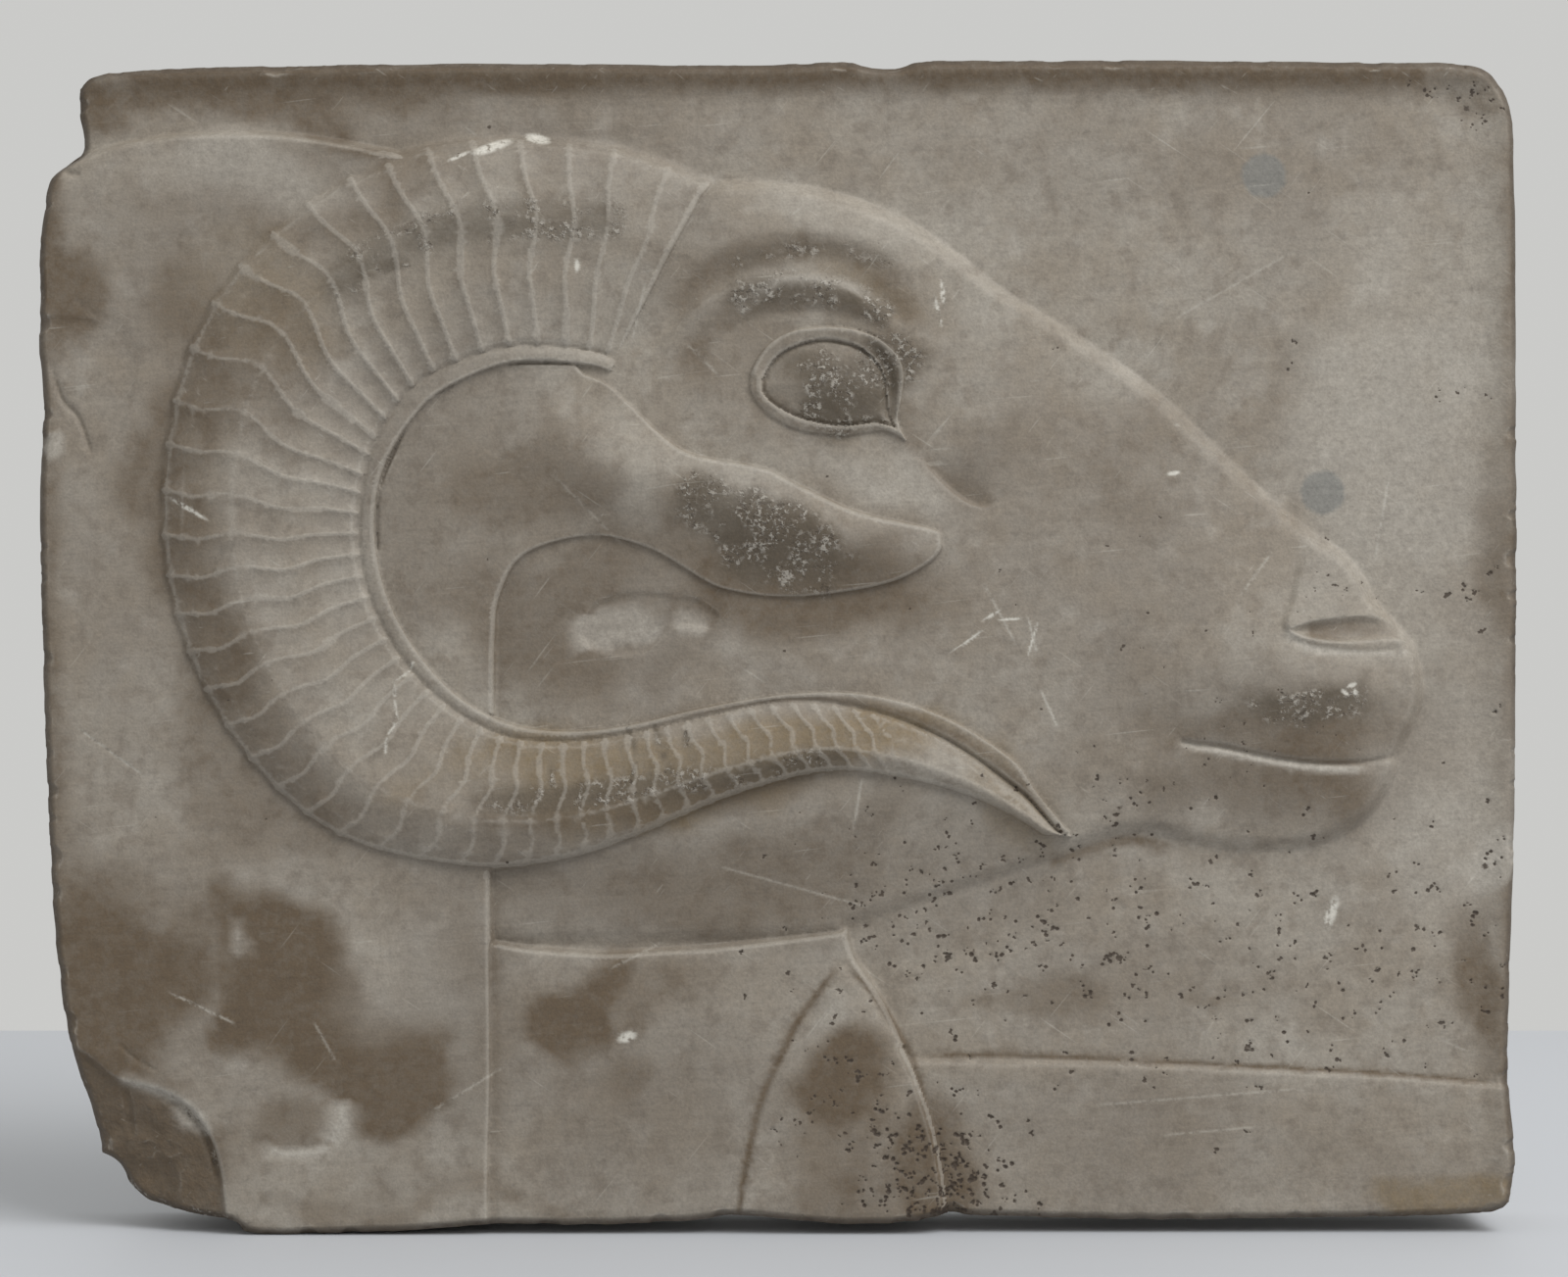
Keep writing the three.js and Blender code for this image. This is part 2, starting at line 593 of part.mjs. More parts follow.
// Rows of spots along the edges of the carving, the strongest first: curve, offsets, spacing, clearance
const edgeRows = [
  [eyeInnerUpper, [0, -0.4, -1.4, -2.8], 1.6],
  [eyeInnerLower, [0, -0.4, -1.4, -2.8], 1.6],
  [eyeOuterUpper, [0, -0.3 * eyeRimWidth], 1.6, leastGap],
  [eyeOuterLower, [0, -0.3 * eyeRimWidth], 1.6, leastGap],
  [nostrilUpper, shoulderRows(nostrilEdgeWidth, -1), 1.4],
  [nostrilLower, [0, -0.25, -0.6], 1.4],
  [mouthLine, grooveRows(1.6 * mouthWidth), 1.8],
  [faceProfile, shoulderRows(faceEdgeWidth, -1), 2.2],
  [earTop, shoulderRows(discEdgeWidth, -1), 2],
  [earBottom, shoulderRows(discEdgeWidth, -1), 2],
  [lidFold, grooveRows(1.4 * lidFoldWidth), 1.8],
  [lidCrest, grooveRows(lidWidth), 2],
  [browLine, grooveRows(browOuterWidth, browInnerWidth), 2.4],
  [tearLine, grooveRows(tearUpperWidth, 1.4 * tearLowerWidth), 1.8],
  [noseFold, [0, 0.5, noseWingWidth], 2],
  [earCrest, [-earLowerWidth, -0.5 * earLowerWidth, 0, 0.5 * earUpperWidth, earUpperWidth], 4],
  [wigArc, shoulderRows(wigEdgeWidth, -1), 2.4],
  [wigFront, shoulderRows(wigEdgeWidth, -1), 3],
  [neckPanelTop, shoulderRows(neckEdgeWidth, -1), 2.4],
  [neckPanelFront, shoulderRows(neckEdgeWidth, -1), 2.4],
  [leafRight, [0, -0.15, -0.8, -2.4], 2.4],
  [leafLeft, [-0.05, 0.3, 1.2, 3], 2.6],
  [shoulderLine, shoulderRows(shoulderEdgeWidth, -1), 3],
  [scarOutline, [0, -brokenEdgeWidth], 1.8],
  [flakeEdge, [0, -brokenEdgeWidth], 2.4],
  [fractureRidge, [0, -0.8, -3, -7, -11], 2.6, 0.8],
  [[[100, sketch.top], [1500, sketch.top]], rimRows, 5, 1.1],
  [[[sketch.right, 110], [sketch.right, 1220]], rimRows, 5, 1.1],
];

/** All spots of the carved face, the strongest edges first. */
function placeSpots() {
  const outline = slabOutline();
  const spots = new Spots(outline);
  const wornEdge = outline.flatMap((spot, i) => {
    const before = outline.at(i - 1);
    const after = outline[(i + 1) % outline.length];
    const run = after.clone().sub(before).normalize();
    return [0.16, 0.5, 1].map((share) => (
      new THREE.Vector2(spot.x - run.y * share * edgeWear, spot.y + run.x * share * edgeWear)
    ));
  });
  spots.add(wornEdge, leastGap);
  spots.add(horn.spots());
  for (const [curve, offsets, spacing, clearance] of edgeRows) {
    spots.add(rowsAlong(curve, offsets, spacing), clearance);
  }
  spots.add(plainSpots(), plainSpacing * 0.55);
  return { outline, all: spots.all };
}

/** A staggered field of wide spots for the plain stone and the soft forms. */
function plainSpots() {
  const field = [];
  const rise = plainSpacing * Math.sqrt(0.75);
  for (let row = 0; row * rise < panelHeight; row += 1) {
    for (let step = 0; step * plainSpacing < panelWidth; step += 1) {
      const x = (step + (row % 2) / 2) * plainSpacing - panelWidth / 2;
      field.push(new THREE.Vector2(x, row * rise - panelHeight / 2));
    }
  }
  return field;
}

/** Circle through three spots, for the test of which facets a new spot breaks up. */
function circleThrough(a, b, c) {
  const [bx, by, cx, cy] = [b.x - a.x, b.y - a.y, c.x - a.x, c.y - a.y];
  const twice = 2 * (bx * cy - by * cx);
  const [bb, cc] = [bx * bx + by * by, cx * cx + cy * cy];
  const x = (cy * bb - by * cc) / twice;
  const y = (bx * cc - cx * bb) / twice;
  return { x: a.x + x, y: a.y + y, reach: x * x + y * y };
}

/** Facets between spots such that no spot lies in the circle of another three. */
function delaunay(spots) {
  const settled = spots.map(({ x, y }, i) => ({
    x: x + tieBreak * Math.sin(12.9898 * i),
    y: y + tieBreak * Math.sin(78.233 * i + 1),
  }));
  const count = spots.length;
  const far = 20 * (panelWidth + panelHeight);
  settled.push({ x: -far, y: -far }, { x: far, y: -far }, { x: 0, y: far });
  const facet = (...corners) => ({ corners, circle: circleThrough(...corners.map((i) => settled[i])) });
  let open = [facet(count, count + 1, count + 2)];
  const closed = [];
  const order = Array.from({ length: count }, (_, i) => i).sort((a, b) => settled[a].x - settled[b].x);
  for (const spot of order) {
    const { x, y } = settled[spot];
    const sides = new Map();
    const untouched = [];
    for (const candidate of open) {
      const { circle } = candidate;
      const passed = x - circle.x;
      if (passed > 0 && passed * passed > circle.reach) {
        closed.push(candidate);
        continue;
      }
      if (passed * passed + (y - circle.y) ** 2 > circle.reach) {
        untouched.push(candidate);
        continue;
      }
      const [a, b, c] = candidate.corners;
      for (const [from, to] of [[a, b], [b, c], [c, a]]) {
        if (!sides.delete(`${to},${from}`)) sides.set(`${from},${to}`, [from, to]);
      }
    }
    open = untouched;
    for (const [from, to] of sides.values()) open.push(facet(from, to, spot));
  }
  return [...closed, ...open].map(({ corners }) => corners).filter((corners) => Math.max(...corners) < count);
}

/** Facets of the carved face: those of the spots that lie within the slab's outline. */
function frontFacets({ outline, all }) {
  const ring = [...outline, outline[0]];
  return delaunay(all).filter(([a, b, c]) => {
    const middle = all[a].clone().add(all[b]).add(all[c]).divideScalar(3);
    return insideRing(ring, middle);
  });
}

/** Height of the finished face above the flat back, with worn edges and the broken corner. */
function faceHeightAt(outline, { x, y: z }) {
  const fromEdge = nearestOn(outline, x, z).distance;
  const worn = edgeWear * (1 - shoulder(fromEdge, edgeWear));
  return groundThickness + carvedHeight(x, z) - worn - fractureDrop(x, z);
}

/** The ring of edges that only one facet uses, in order round the face. */
function openRing(triangles) {
  const next = new Map();
  const edges = new Set();
  for (const [a, b, c] of triangles) {
    for (const [from, to] of [[a, b], [b, c], [c, a]]) edges.add(`${from},${to}`);
  }
  for (const edge of edges) {
    const [from, to] = edge.split(',').map(Number);
    if (!edges.has(`${to},${from}`)) next.set(from, to);
  }
  const ring = [next.keys().next().value];
  while (next.get(ring.at(-1)) !== ring[0]) ring.push(next.get(ring.at(-1)));
  return ring;
}

/** The slab as one closed body: carved face, straight sides and flat back. */
function reliefPanelGeometry() {
  const spots = placeSpots();
  const outline = [...spots.outline, spots.outline[0]];
  const triangles = frontFacets(spots);
  const ring = openRing(triangles);
  const positions = spots.all.flatMap((spot) => [spot.x, -faceHeightAt(outline, spot), spot.y]);
  const backStart = spots.all.length;
  const backRing = ring.map((corner) => spots.all[corner]);
  for (const { x, y } of backRing) positions.push(x, 0, y);
  ring.forEach((corner, i) => {
    const j = (i + 1) % ring.length;
    triangles.push([ring[j], corner, backStart + i], [ring[j], backStart + i, backStart + j]);
  });
  for (const [a, b, c] of THREE.ShapeUtils.triangulateShape(backRing, [])) {
    triangles.push([backStart + a, backStart + c, backStart + b]);
  }
  const geometry = new THREE.BufferGeometry();
  geometry.setAttribute('position', new THREE.Float32BufferAttribute(positions, 3));
  geometry.setIndex(triangles.flat());
  geometry.computeVertexNormals();
  return geometry;
}

const limestone = new THREE.MeshStandardMaterial({ color: 0x9c9284, roughness: 0.82, metalness: 0 });

const reliefPanel = new THREE.Mesh(reliefPanelGeometry(), limestone);
reliefPanel.name = 'relief_panel';

const model = new THREE.Group();
model.name = 'stone_relief_panel';
model.add(reliefPanel);

export default model;
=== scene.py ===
import logging
import math
from dataclasses import dataclass, field
from enum import Enum
from typing import Optional, Sequence

import bpy
import numpy as np
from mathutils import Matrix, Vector


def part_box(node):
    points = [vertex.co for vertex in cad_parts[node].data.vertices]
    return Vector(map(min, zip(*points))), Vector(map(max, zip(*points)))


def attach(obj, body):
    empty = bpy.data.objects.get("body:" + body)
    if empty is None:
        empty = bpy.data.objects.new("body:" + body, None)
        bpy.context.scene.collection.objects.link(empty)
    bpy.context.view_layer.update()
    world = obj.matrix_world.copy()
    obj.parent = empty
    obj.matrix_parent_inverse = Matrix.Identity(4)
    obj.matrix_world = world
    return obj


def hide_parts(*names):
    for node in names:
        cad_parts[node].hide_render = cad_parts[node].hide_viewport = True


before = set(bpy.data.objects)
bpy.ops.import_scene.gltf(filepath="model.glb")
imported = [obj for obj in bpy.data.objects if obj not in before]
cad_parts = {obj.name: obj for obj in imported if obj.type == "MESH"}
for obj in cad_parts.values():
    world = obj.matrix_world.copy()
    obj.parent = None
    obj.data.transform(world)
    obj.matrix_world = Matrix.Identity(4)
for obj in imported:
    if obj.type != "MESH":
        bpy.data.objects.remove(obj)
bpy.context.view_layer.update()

log = logging.getLogger("relief_panel")

Pixels = Sequence[tuple[float, float]]
Array = np.ndarray

PHOTO_WIDTH = 1600
PHOTO_HEIGHT = 1303
PANEL_WIDTH = 0.160
PANEL_HEIGHT = 0.127
GROUND_THICKNESS = 0.015
CURVE_STEPS = 5
OUTLINE_STEPS = 12
FULL_TONE = 255
GAMMA = 2.2
HUMP_REACH = 2.6
LEAST = 1e-6
FULL_CELLS = 1024
GRID_CELLS = FULL_CELLS
COARSE_CELLS = 128
COARSE_STEP = GRID_CELLS // COARSE_CELLS


@dataclass(frozen=True)
class Sketch:
    """The photograph's frame of pixels laid over the face, x to the right and y down.

    Its edges are the slab's outermost points, so a place in pixels is a share of the panel's size.
    """

    left: float = 39.0
    right: float = 1550.0
    top: float = 60.0
    bottom: float = 1260.0

    def x(self, pixel: float) -> float:
        """Place across the panel: share of the sketch's width, less a half, times the width."""
        return ((pixel - self.left) / (self.right - self.left) - 0.5) * PANEL_WIDTH

    def z(self, pixel: float) -> float:
        """Place up the panel: a half less the share of the sketch's height, times the height."""
        return (0.5 - (pixel - self.top) / (self.bottom - self.top)) * PANEL_HEIGHT

    def size(self, pixels: float) -> float:
        """A length on the sketch as a length on the panel."""
        return pixels / (self.right - self.left) * PANEL_WIDTH

    def on_panel(self, points: Pixels) -> Array:
        """Sketch points as rows of x and z on the panel's face."""
        pixels = np.asarray(points, dtype=float)
        return np.stack([self.x(pixels[:, 0]), self.z(pixels[:, 1])], axis=1)


SKETCH = Sketch()


def clamp01(value: Array) -> Array:
    """Value held between 0 and 1."""
    return np.clip(value, 0.0, 1.0)


def ease(value: Array) -> Array:
    """Smooth step: 3v^2 - 2v^3 for v between 0 and 1."""
    share = clamp01(value)
    return share * share * (3.0 - 2.0 * share)


def mix(a: Array, b: Array, share: Array) -> Array:
    """Straight blend from a to b."""
    return a + (b - a) * share


def shoulder(depth: Array, width: float) -> Array:
    """Round of a form's edge: half an ease of t = depth/width and half 1 - (1 - t)^2."""
    t = clamp01(depth / width)
    return 0.5 * ease(t) + 0.5 * (1.0 - (1.0 - t) ** 2)


def hump(distance: Array, width: float) -> Array:
    """Soft ridge or groove: exp(-(distance/width)^2)."""
    return np.exp(-((distance / width) ** 2))


def smooth_curve(points: Pixels, steps: int = CURVE_STEPS) -> Array:
    """Uniform Catmull-Rom curve through sketch points, on the panel's face.

    Each span is p1 + v0 t + (3d - 2v0 - v1) t^2 + (v0 + v1 - 2d) t^3, where d is the way from
    p1 to p2 and v0, v1 are half the ways between the neighbours of p1 and of p2.

    Args:
        points: the sketch points.
        steps: points made for each span.

    Returns:
        Rows of x and z.
    """
    spots = SKETCH.on_panel(points)
    padded = np.concatenate([spots[:1], spots, spots[-1:]])
    p0, p1, p2, p3 = padded[:-3], padded[1:-2], padded[2:-1], padded[3:]
    t = (np.arange(steps) / steps)[None, :, None]
    d = (p2 - p1)[:, None]
    v0 = ((p2 - p0) / 2)[:, None]
    v1 = ((p3 - p1) / 2)[:, None]
    spans = p1[:, None] + v0 * t + (3 * d - 2 * v0 - v1) * t**2 + (v0 + v1 - 2 * d) * t**3
    return np.concatenate([spans.reshape(-1, 2), spots[-1:]])


def even_points(curve: Array, count: int) -> Array:
    """Points at even lengths along a curve, from its start to its end."""
    steps = np.hypot(*np.diff(curve, axis=0).T)
    length = np.concatenate([[0.0], np.cumsum(steps)])
    places = np.linspace(0.0, length[-1], count)
    return np.stack([np.interp(places, length, curve[:, k]) for k in range(2)], axis=1)


class Grain:
    """Seeded value noise: random values on a lattice, joined by quintic steps."""

    LATTICE = 256
    LAYER_SHIFT = (17.3, 9.1)

    def __init__(self, seed: int) -> None:
        """Draws the lattice from its own seed."""
        self.values = np.random.default_rng(seed).uniform(-1.0, 1.0, (self.LATTICE, self.LATTICE))

    def at(self, x: Array, z: Array, scale: float, octaves: int = 1) -> Array:
        """Noise between about -1 and 1.

        Args:
            x: places across.
            z: places up.
            scale: size of the largest lumps, in metres.
            octaves: layers, each half as large and half as strong as the one before.

        Returns:
            The sum of the layers over the sum of their strengths.
        """
        total = np.zeros_like(x)
        across, up = self.LAYER_SHIFT
        strength = 1.0
        whole = 0.0
        for layer in range(octaves):
            total += strength * self._layer(x / scale + across * layer, z / scale + up * layer)
            whole += strength
            strength /= 2
            scale /= 2
        return total / whole

    def _layer(self, u: Array, v: Array) -> Array:
        """One layer: the four lattice values about a place, blended by 6f^5 - 15f^4 + 10f^3."""
        iu = np.floor(u)
        iv = np.floor(v)
        fu = u - iu
        fv = v - iv
        fu = fu * fu * fu * (fu * (fu * 6 - 15) + 10)
        fv = fv * fv * fv * (fv * (fv * 6 - 15) + 10)
        a = iu.astype(int) % self.LATTICE
        b = iv.astype(int) % self.LATTICE
        a1 = (a + 1) % self.LATTICE
        b1 = (b + 1) % self.LATTICE
        low = mix(self.values[a, b], self.values[a1, b], fu)
        high = mix(self.values[a, b1], self.values[a1, b1], fu)
        return mix(low, high, fv)


class FacePoints:
    """Points of the panel's face in order of x, so that a curve only looks at those near it."""

    def __init__(self, x: Array, z: Array) -> None:
        """Sorts the points by x and keeps the order they came in."""
        self.order = np.argsort(x, kind="stable")
        self.x = x[self.order]
        self.z = z[self.order]

    def restored(self, values: Array) -> Array:
        """Values of the sorted points, back in the order that the points came in."""
        out = np.empty_like(values)
        out[self.order] = values
        return out

    def near(self, low: Array, high: Array) -> Array:
        """Indexes of the points within a box."""
        first, last = np.searchsorted(self.x, (low[0], high[0]))
        z = self.z[first:last]
        return first + np.flatnonzero((z >= low[1]) & (z <= high[1]))

    def nearest(self, chain: Array, reach: float) -> tuple[Array, Array, Array]:
        """Nearest place on a chain of points, looked for within a reach.

        Args:
            chain: rows of x and z.
            reach: greatest distance that matters.

        Returns:
            The distance, at most the reach; the share of the way along; and the side, 1 for left.
        """
        gap = np.full(len(self.x), reach**2)
        along = np.zeros(len(self.x))
        side = np.zeros(len(self.x))
        spans = len(chain) - 1
        for i in range(spans):
            a = chain[i]
            b = chain[i + 1]
            rows = self.near(np.minimum(a, b) - reach, np.maximum(a, b) + reach)
            run = b - a
            dx = self.x[rows] - a[0]
            dz = self.z[rows] - a[1]
            share = clamp01((dx * run[0] + dz * run[1]) / max(float(run @ run), 1e-18))
            found = (dx - share * run[0]) ** 2 + (dz - share * run[1]) ** 2
            closer = found < gap[rows]
            hit = rows[closer]
            gap[hit] = found[closer]
            along[hit] = (i + share[closer]) / spans
            side[hit] = np.sign(run[0] * dz[closer] - run[1] * dx[closer])
        return np.sqrt(gap), along, side

    def inside(self, ring: Array) -> Array:
        """Whether each point lies within a closed ring: the edges above it are odd in number."""
        odd = np.zeros(len(self.x), dtype=bool)
        for a, b in zip(ring[:-1], ring[1:]):
            if a[0] == b[0]:
                continue
            first, last = np.searchsorted(self.x, sorted((a[0], b[0])))
            line = a[1] + (b[1] - a[1]) * (self.x[first:last] - a[0]) / (b[0] - a[0])
            odd[first:last] ^= self.z[first:last] < line
        return odd


class Area:
    """A closed area of the carving, bounded by curves laid end to end."""

    def __init__(self, *curves: Pixels) -> None:
        """Joins the curves; a pair of points is a straight edge and more points a smooth one."""
        parts = [smooth_curve(c) if len(c) > 2 else SKETCH.on_panel(c) for c in curves]
        self.rim = np.concatenate([*parts, parts[0][:1]])

    def depth(self, points: FacePoints, reach: float) -> Array:
        """Depth inside the edge, at most the reach, and negative outside."""
        distance, _, _ = points.nearest(self.rim, reach)
        return np.where(points.inside(self.rim), distance, -distance)


@dataclass(frozen=True)
class Stroke:
    """A ridge, groove or step along an open curve, fading at its two ends."""

    points: Pixels
    fade: float = 0.15

    def at(self, points: FacePoints, left: float, right: Optional[float] = None) -> Array:
        """Height share: exp(-(distance/width)^2) times the fade at the nearer end.

        Args:
            points: where to work it out.
            left: width to the left of the curve.
            right: width to its right, the same where it isn't given.

        Returns:
            Shares from 0 to 1.
        """
        right = left if right is None else right
        reach = HUMP_REACH * max(left, right)
        distance, along, side = points.nearest(smooth_curve(self.points), reach)
        ends = ease(along / self.fade) * ease((1.0 - along) / self.fade)
        width = np.where(side > 0, left, right)
        return np.where(distance < reach, ends * hump(distance, width), 0.0)


@dataclass(frozen=True)
class SoftForm:
    """A dome of a face, or a hollow where its height is negative."""

    height: float
    centre: tuple[float, float]
    reach: tuple[float, float]

    def at(self, points: FacePoints) -> Array:
        """Height times exp(-(across/reach)^2 - (up/reach)^2)."""
        across = (points.x - SKETCH.x(self.centre[0])) / SKETCH.size(self.reach[0])
        up = (points.z - SKETCH.z(self.centre[1])) / SKETCH.size(self.reach[1])
        return self.height * np.exp(-(across**2) - up**2)


SLAB_TOP = [
    (78, 88), (94, 76), (140, 70), (260, 66), (500, 63), (740, 65), (820, 63), (862, 61),
    (888, 67), (915, 68), (936, 62), (960, 60), (1010, 60), (1200, 60), (1400, 62), (1490, 63),
    (1520, 72), (1536, 90),
]
SLAB_RIGHT = [
    (1536, 90), (1545, 120), (1548, 200), (1549, 400), (1550, 550), (1549, 700), (1547, 860),
    (1543, 980), (1541, 1100), (1546, 1160), (1547, 1200), (1542, 1228),
]
SLAB_BOTTOM = [
    (98, 1181), (112, 1188), (120, 1199), (125, 1211), (143, 1227), (160, 1233), (191, 1240),
    (238, 1247), (252, 1258), (300, 1260), (400, 1257), (507, 1250), (600, 1251), (700, 1247),
    (757, 1241), (820, 1247), (880, 1250), (935, 1247), (968, 1240), (1010, 1243),
    (1200, 1247), (1400, 1244), (1500, 1241), (1528, 1238), (1542, 1228),
]
SLAB_LEFT = [
    (78, 88), (77, 110), (82, 150), (62, 170), (50, 187), (45, 215), (40, 260), (41, 300),
    (39, 350), (44, 410), (42, 450), (40, 530), (43, 650), (45, 730), (50, 850), (54, 930),
    (62, 1010), (74, 1080), (90, 1130), (98, 1181),
]
WIG_ARC = [
    (20, 190), (60, 168), (82, 158), (110, 146), (170, 135), (235, 131), (300, 134), (360, 143),
    (398, 150),
]
FACE_PROFILE = [
    (735, 181), (765, 182), (800, 184), (860, 196), (925, 221), (985, 262), (1020, 290),
    (1100, 340), (1180, 396), (1240, 452), (1300, 508), (1344, 543), (1373, 562), (1392, 585),
    (1406, 610), (1423, 630), (1440, 650), (1449, 665), (1455, 692), (1455, 714), (1448, 737),
    (1437, 757), (1431, 772), (1429, 787), (1417, 812), (1400, 835), (1372, 854), (1345, 864),
    (1310, 869), (1266, 870), (1235, 866), (1201, 859), (1176, 852), (1148, 853), (1120, 861),
    (1080, 877), (1000, 904), (930, 927), (868, 947),
]
MOUTH_LINE = [
    (1201, 756), (1218, 759), (1246, 762), (1277, 769), (1302, 774), (1333, 778), (1367, 779),
    (1395, 777), (1418, 773), (1440, 770),
]
NOSTRIL_UPPER = [
    (1312, 642), (1333, 634), (1359, 630), (1387, 628), (1412, 631), (1429, 641), (1440, 654),
]
NOSTRIL_LOWER = [
    (1440, 654), (1415, 653), (1389, 655), (1361, 656), (1336, 653), (1320, 648), (1312, 642),
]
NOSE_FOLD = [
    (1340, 541), (1328, 565), (1319, 591), (1313, 616), (1305, 634), (1311, 648), (1330, 658),
    (1367, 664), (1401, 665), (1429, 661), (1450, 664),
]
EAR_TOP = [
    (600, 377), (624, 387), (647, 408), (670, 431), (688, 447), (706, 458), (732, 464),
    (764, 469), (788, 475), (805, 484), (835, 499), (864, 513), (893, 522), (923, 528),
    (952, 534), (964, 541), (967, 556),
]
EAR_BOTTOM = [
    (967, 556), (964, 566), (952, 579), (925, 595), (890, 606), (839, 614), (804, 616),
    (770, 614), (735, 607), (715, 598), (694, 585), (667, 569), (639, 559), (615, 554),
    (591, 555), (563, 561), (543, 569), (529, 581), (520, 598), (513, 619), (511, 643),
    (510, 678), (510, 735),
]
EAR_CREST = [
    (500, 440), (570, 462), (640, 482), (700, 497), (780, 520), (860, 545), (950, 562),
    (1080, 590),
]
WIG_FRONT = [(507, 880), (507, 960), (508, 1100), (506, 1180), (505, 1280)]
NECK_TOP = [
    (508, 959), (533, 964), (565, 967), (619, 970), (672, 967), (726, 964), (779, 958),
    (833, 951), (866, 946),
]
NECK_FRONT = [(866, 946), (874, 974), (893, 1003), (908, 1028), (926, 1067)]
LEAF_LEFT = [
    (859, 983), (840, 1003), (818, 1035), (801, 1071), (786, 1103), (774, 1138), (763, 1178),
    (756, 1217), (753, 1270),
]
LEAF_RIGHT = [
    (859, 983), (886, 1014), (904, 1042), (922, 1071), (935, 1099), (947, 1131), (956, 1163),
    (963, 1199), (970, 1270),
]
SHOULDER_LINE = [
    (920, 1081), (1008, 1082), (1086, 1083), (1160, 1085), (1247, 1089), (1334, 1093),
    (1420, 1097), (1477, 1102), (1580, 1110),
]
EYE_OUTER_UPPER = [
    (765, 381), (776, 361), (791, 346), (811, 337), (835, 334), (858, 334), (882, 339),
    (902, 349), (917, 364), (923, 384), (920, 408), (917, 431), (926, 452),
]
EYE_OUTER_LOWER = [
    (926, 452), (905, 442), (885, 443), (864, 446), (845, 445), (817, 441), (794, 431),
    (776, 417), (765, 400), (765, 381),
]
EYE_INNER_UPPER = [
    (777, 390), (788, 370), (805, 356), (835, 347), (864, 350), (882, 358), (896, 372),
    (903, 387), (905, 408), (908, 425), (914, 437),
]
EYE_INNER_LOWER = [
    (914, 437), (893, 432), (864, 435), (835, 432), (811, 425), (791, 414), (779, 402),
    (777, 390),
]
EYE_CORNER = [(880, 348), (896, 362), (906, 380), (910, 402), (912, 424), (918, 440)]
LID_FOLD = [
    (733, 355), (745, 339), (762, 328), (788, 321), (820, 318), (850, 320), (880, 328),
    (905, 340), (922, 360),
]
LID_CREST = [
    (668, 400), (678, 362), (700, 330), (730, 306), (765, 292), (805, 287), (850, 293),
    (890, 314), (915, 345), (925, 378),
]
BROW_LINE = [
    (655, 355), (672, 310), (705, 272), (750, 246), (800, 235), (850, 236), (895, 252),
    (932, 288), (950, 335),
]
TEAR_LINE = [
    (926, 452), (940, 466), (956, 483), (972, 499), (990, 511), (1005, 514), (1022, 509),
    (1036, 497),
]
FRACTURE_RIDGE = [
    (70, 1060), (97, 1078), (122, 1098), (160, 1108), (194, 1126), (219, 1162), (230, 1205),
    (236, 1262),
]
SCAR_OUTLINE = [
    (592, 650), (604, 618), (640, 604), (690, 606), (716, 612), (735, 628), (722, 643),
    (690, 640), (672, 655), (655, 668), (620, 668), (600, 662), (592, 650),
]
FLAKE_EDGE = [
    (50, 322), (100, 326), (131, 340), (143, 365), (140, 400), (128, 440), (104, 468),
    (50, 486),
]


@dataclass
class Ground:
    """The sunk ground with its raised rim along the top and the right, and the shoulder below."""

    top_rim_height: float = 0.0010
    side_rim_height: float = 0.0008
    rim_width: float = 0.0042
    rim_flat: float = 0.1
    shoulder_height: float = 0.0005
    shoulder_edge: float = 0.0007

    def height(self, points: FacePoints) -> Array:
        """Rim heights that ease out with the distance from the edge, plus the shoulder's step."""
        top = 1 - ease((PANEL_HEIGHT / 2 - points.z) / self.rim_width - self.rim_flat)
        side = 1 - ease((PANEL_WIDTH / 2 - points.x) / self.rim_width - self.rim_flat)
        body = Area(SHOULDER_LINE, [(1600, 1340), (900, 1340)])
        depth = body.depth(points, self.shoulder_edge)
        step = np.where(points.x > SKETCH.x(LEAF_RIGHT[1][0]), shoulder(depth, self.shoulder_edge), 0.0)
        rim = np.maximum(self.top_rim_height * top, self.side_rim_height * side)
        return rim + self.shoulder_height * step


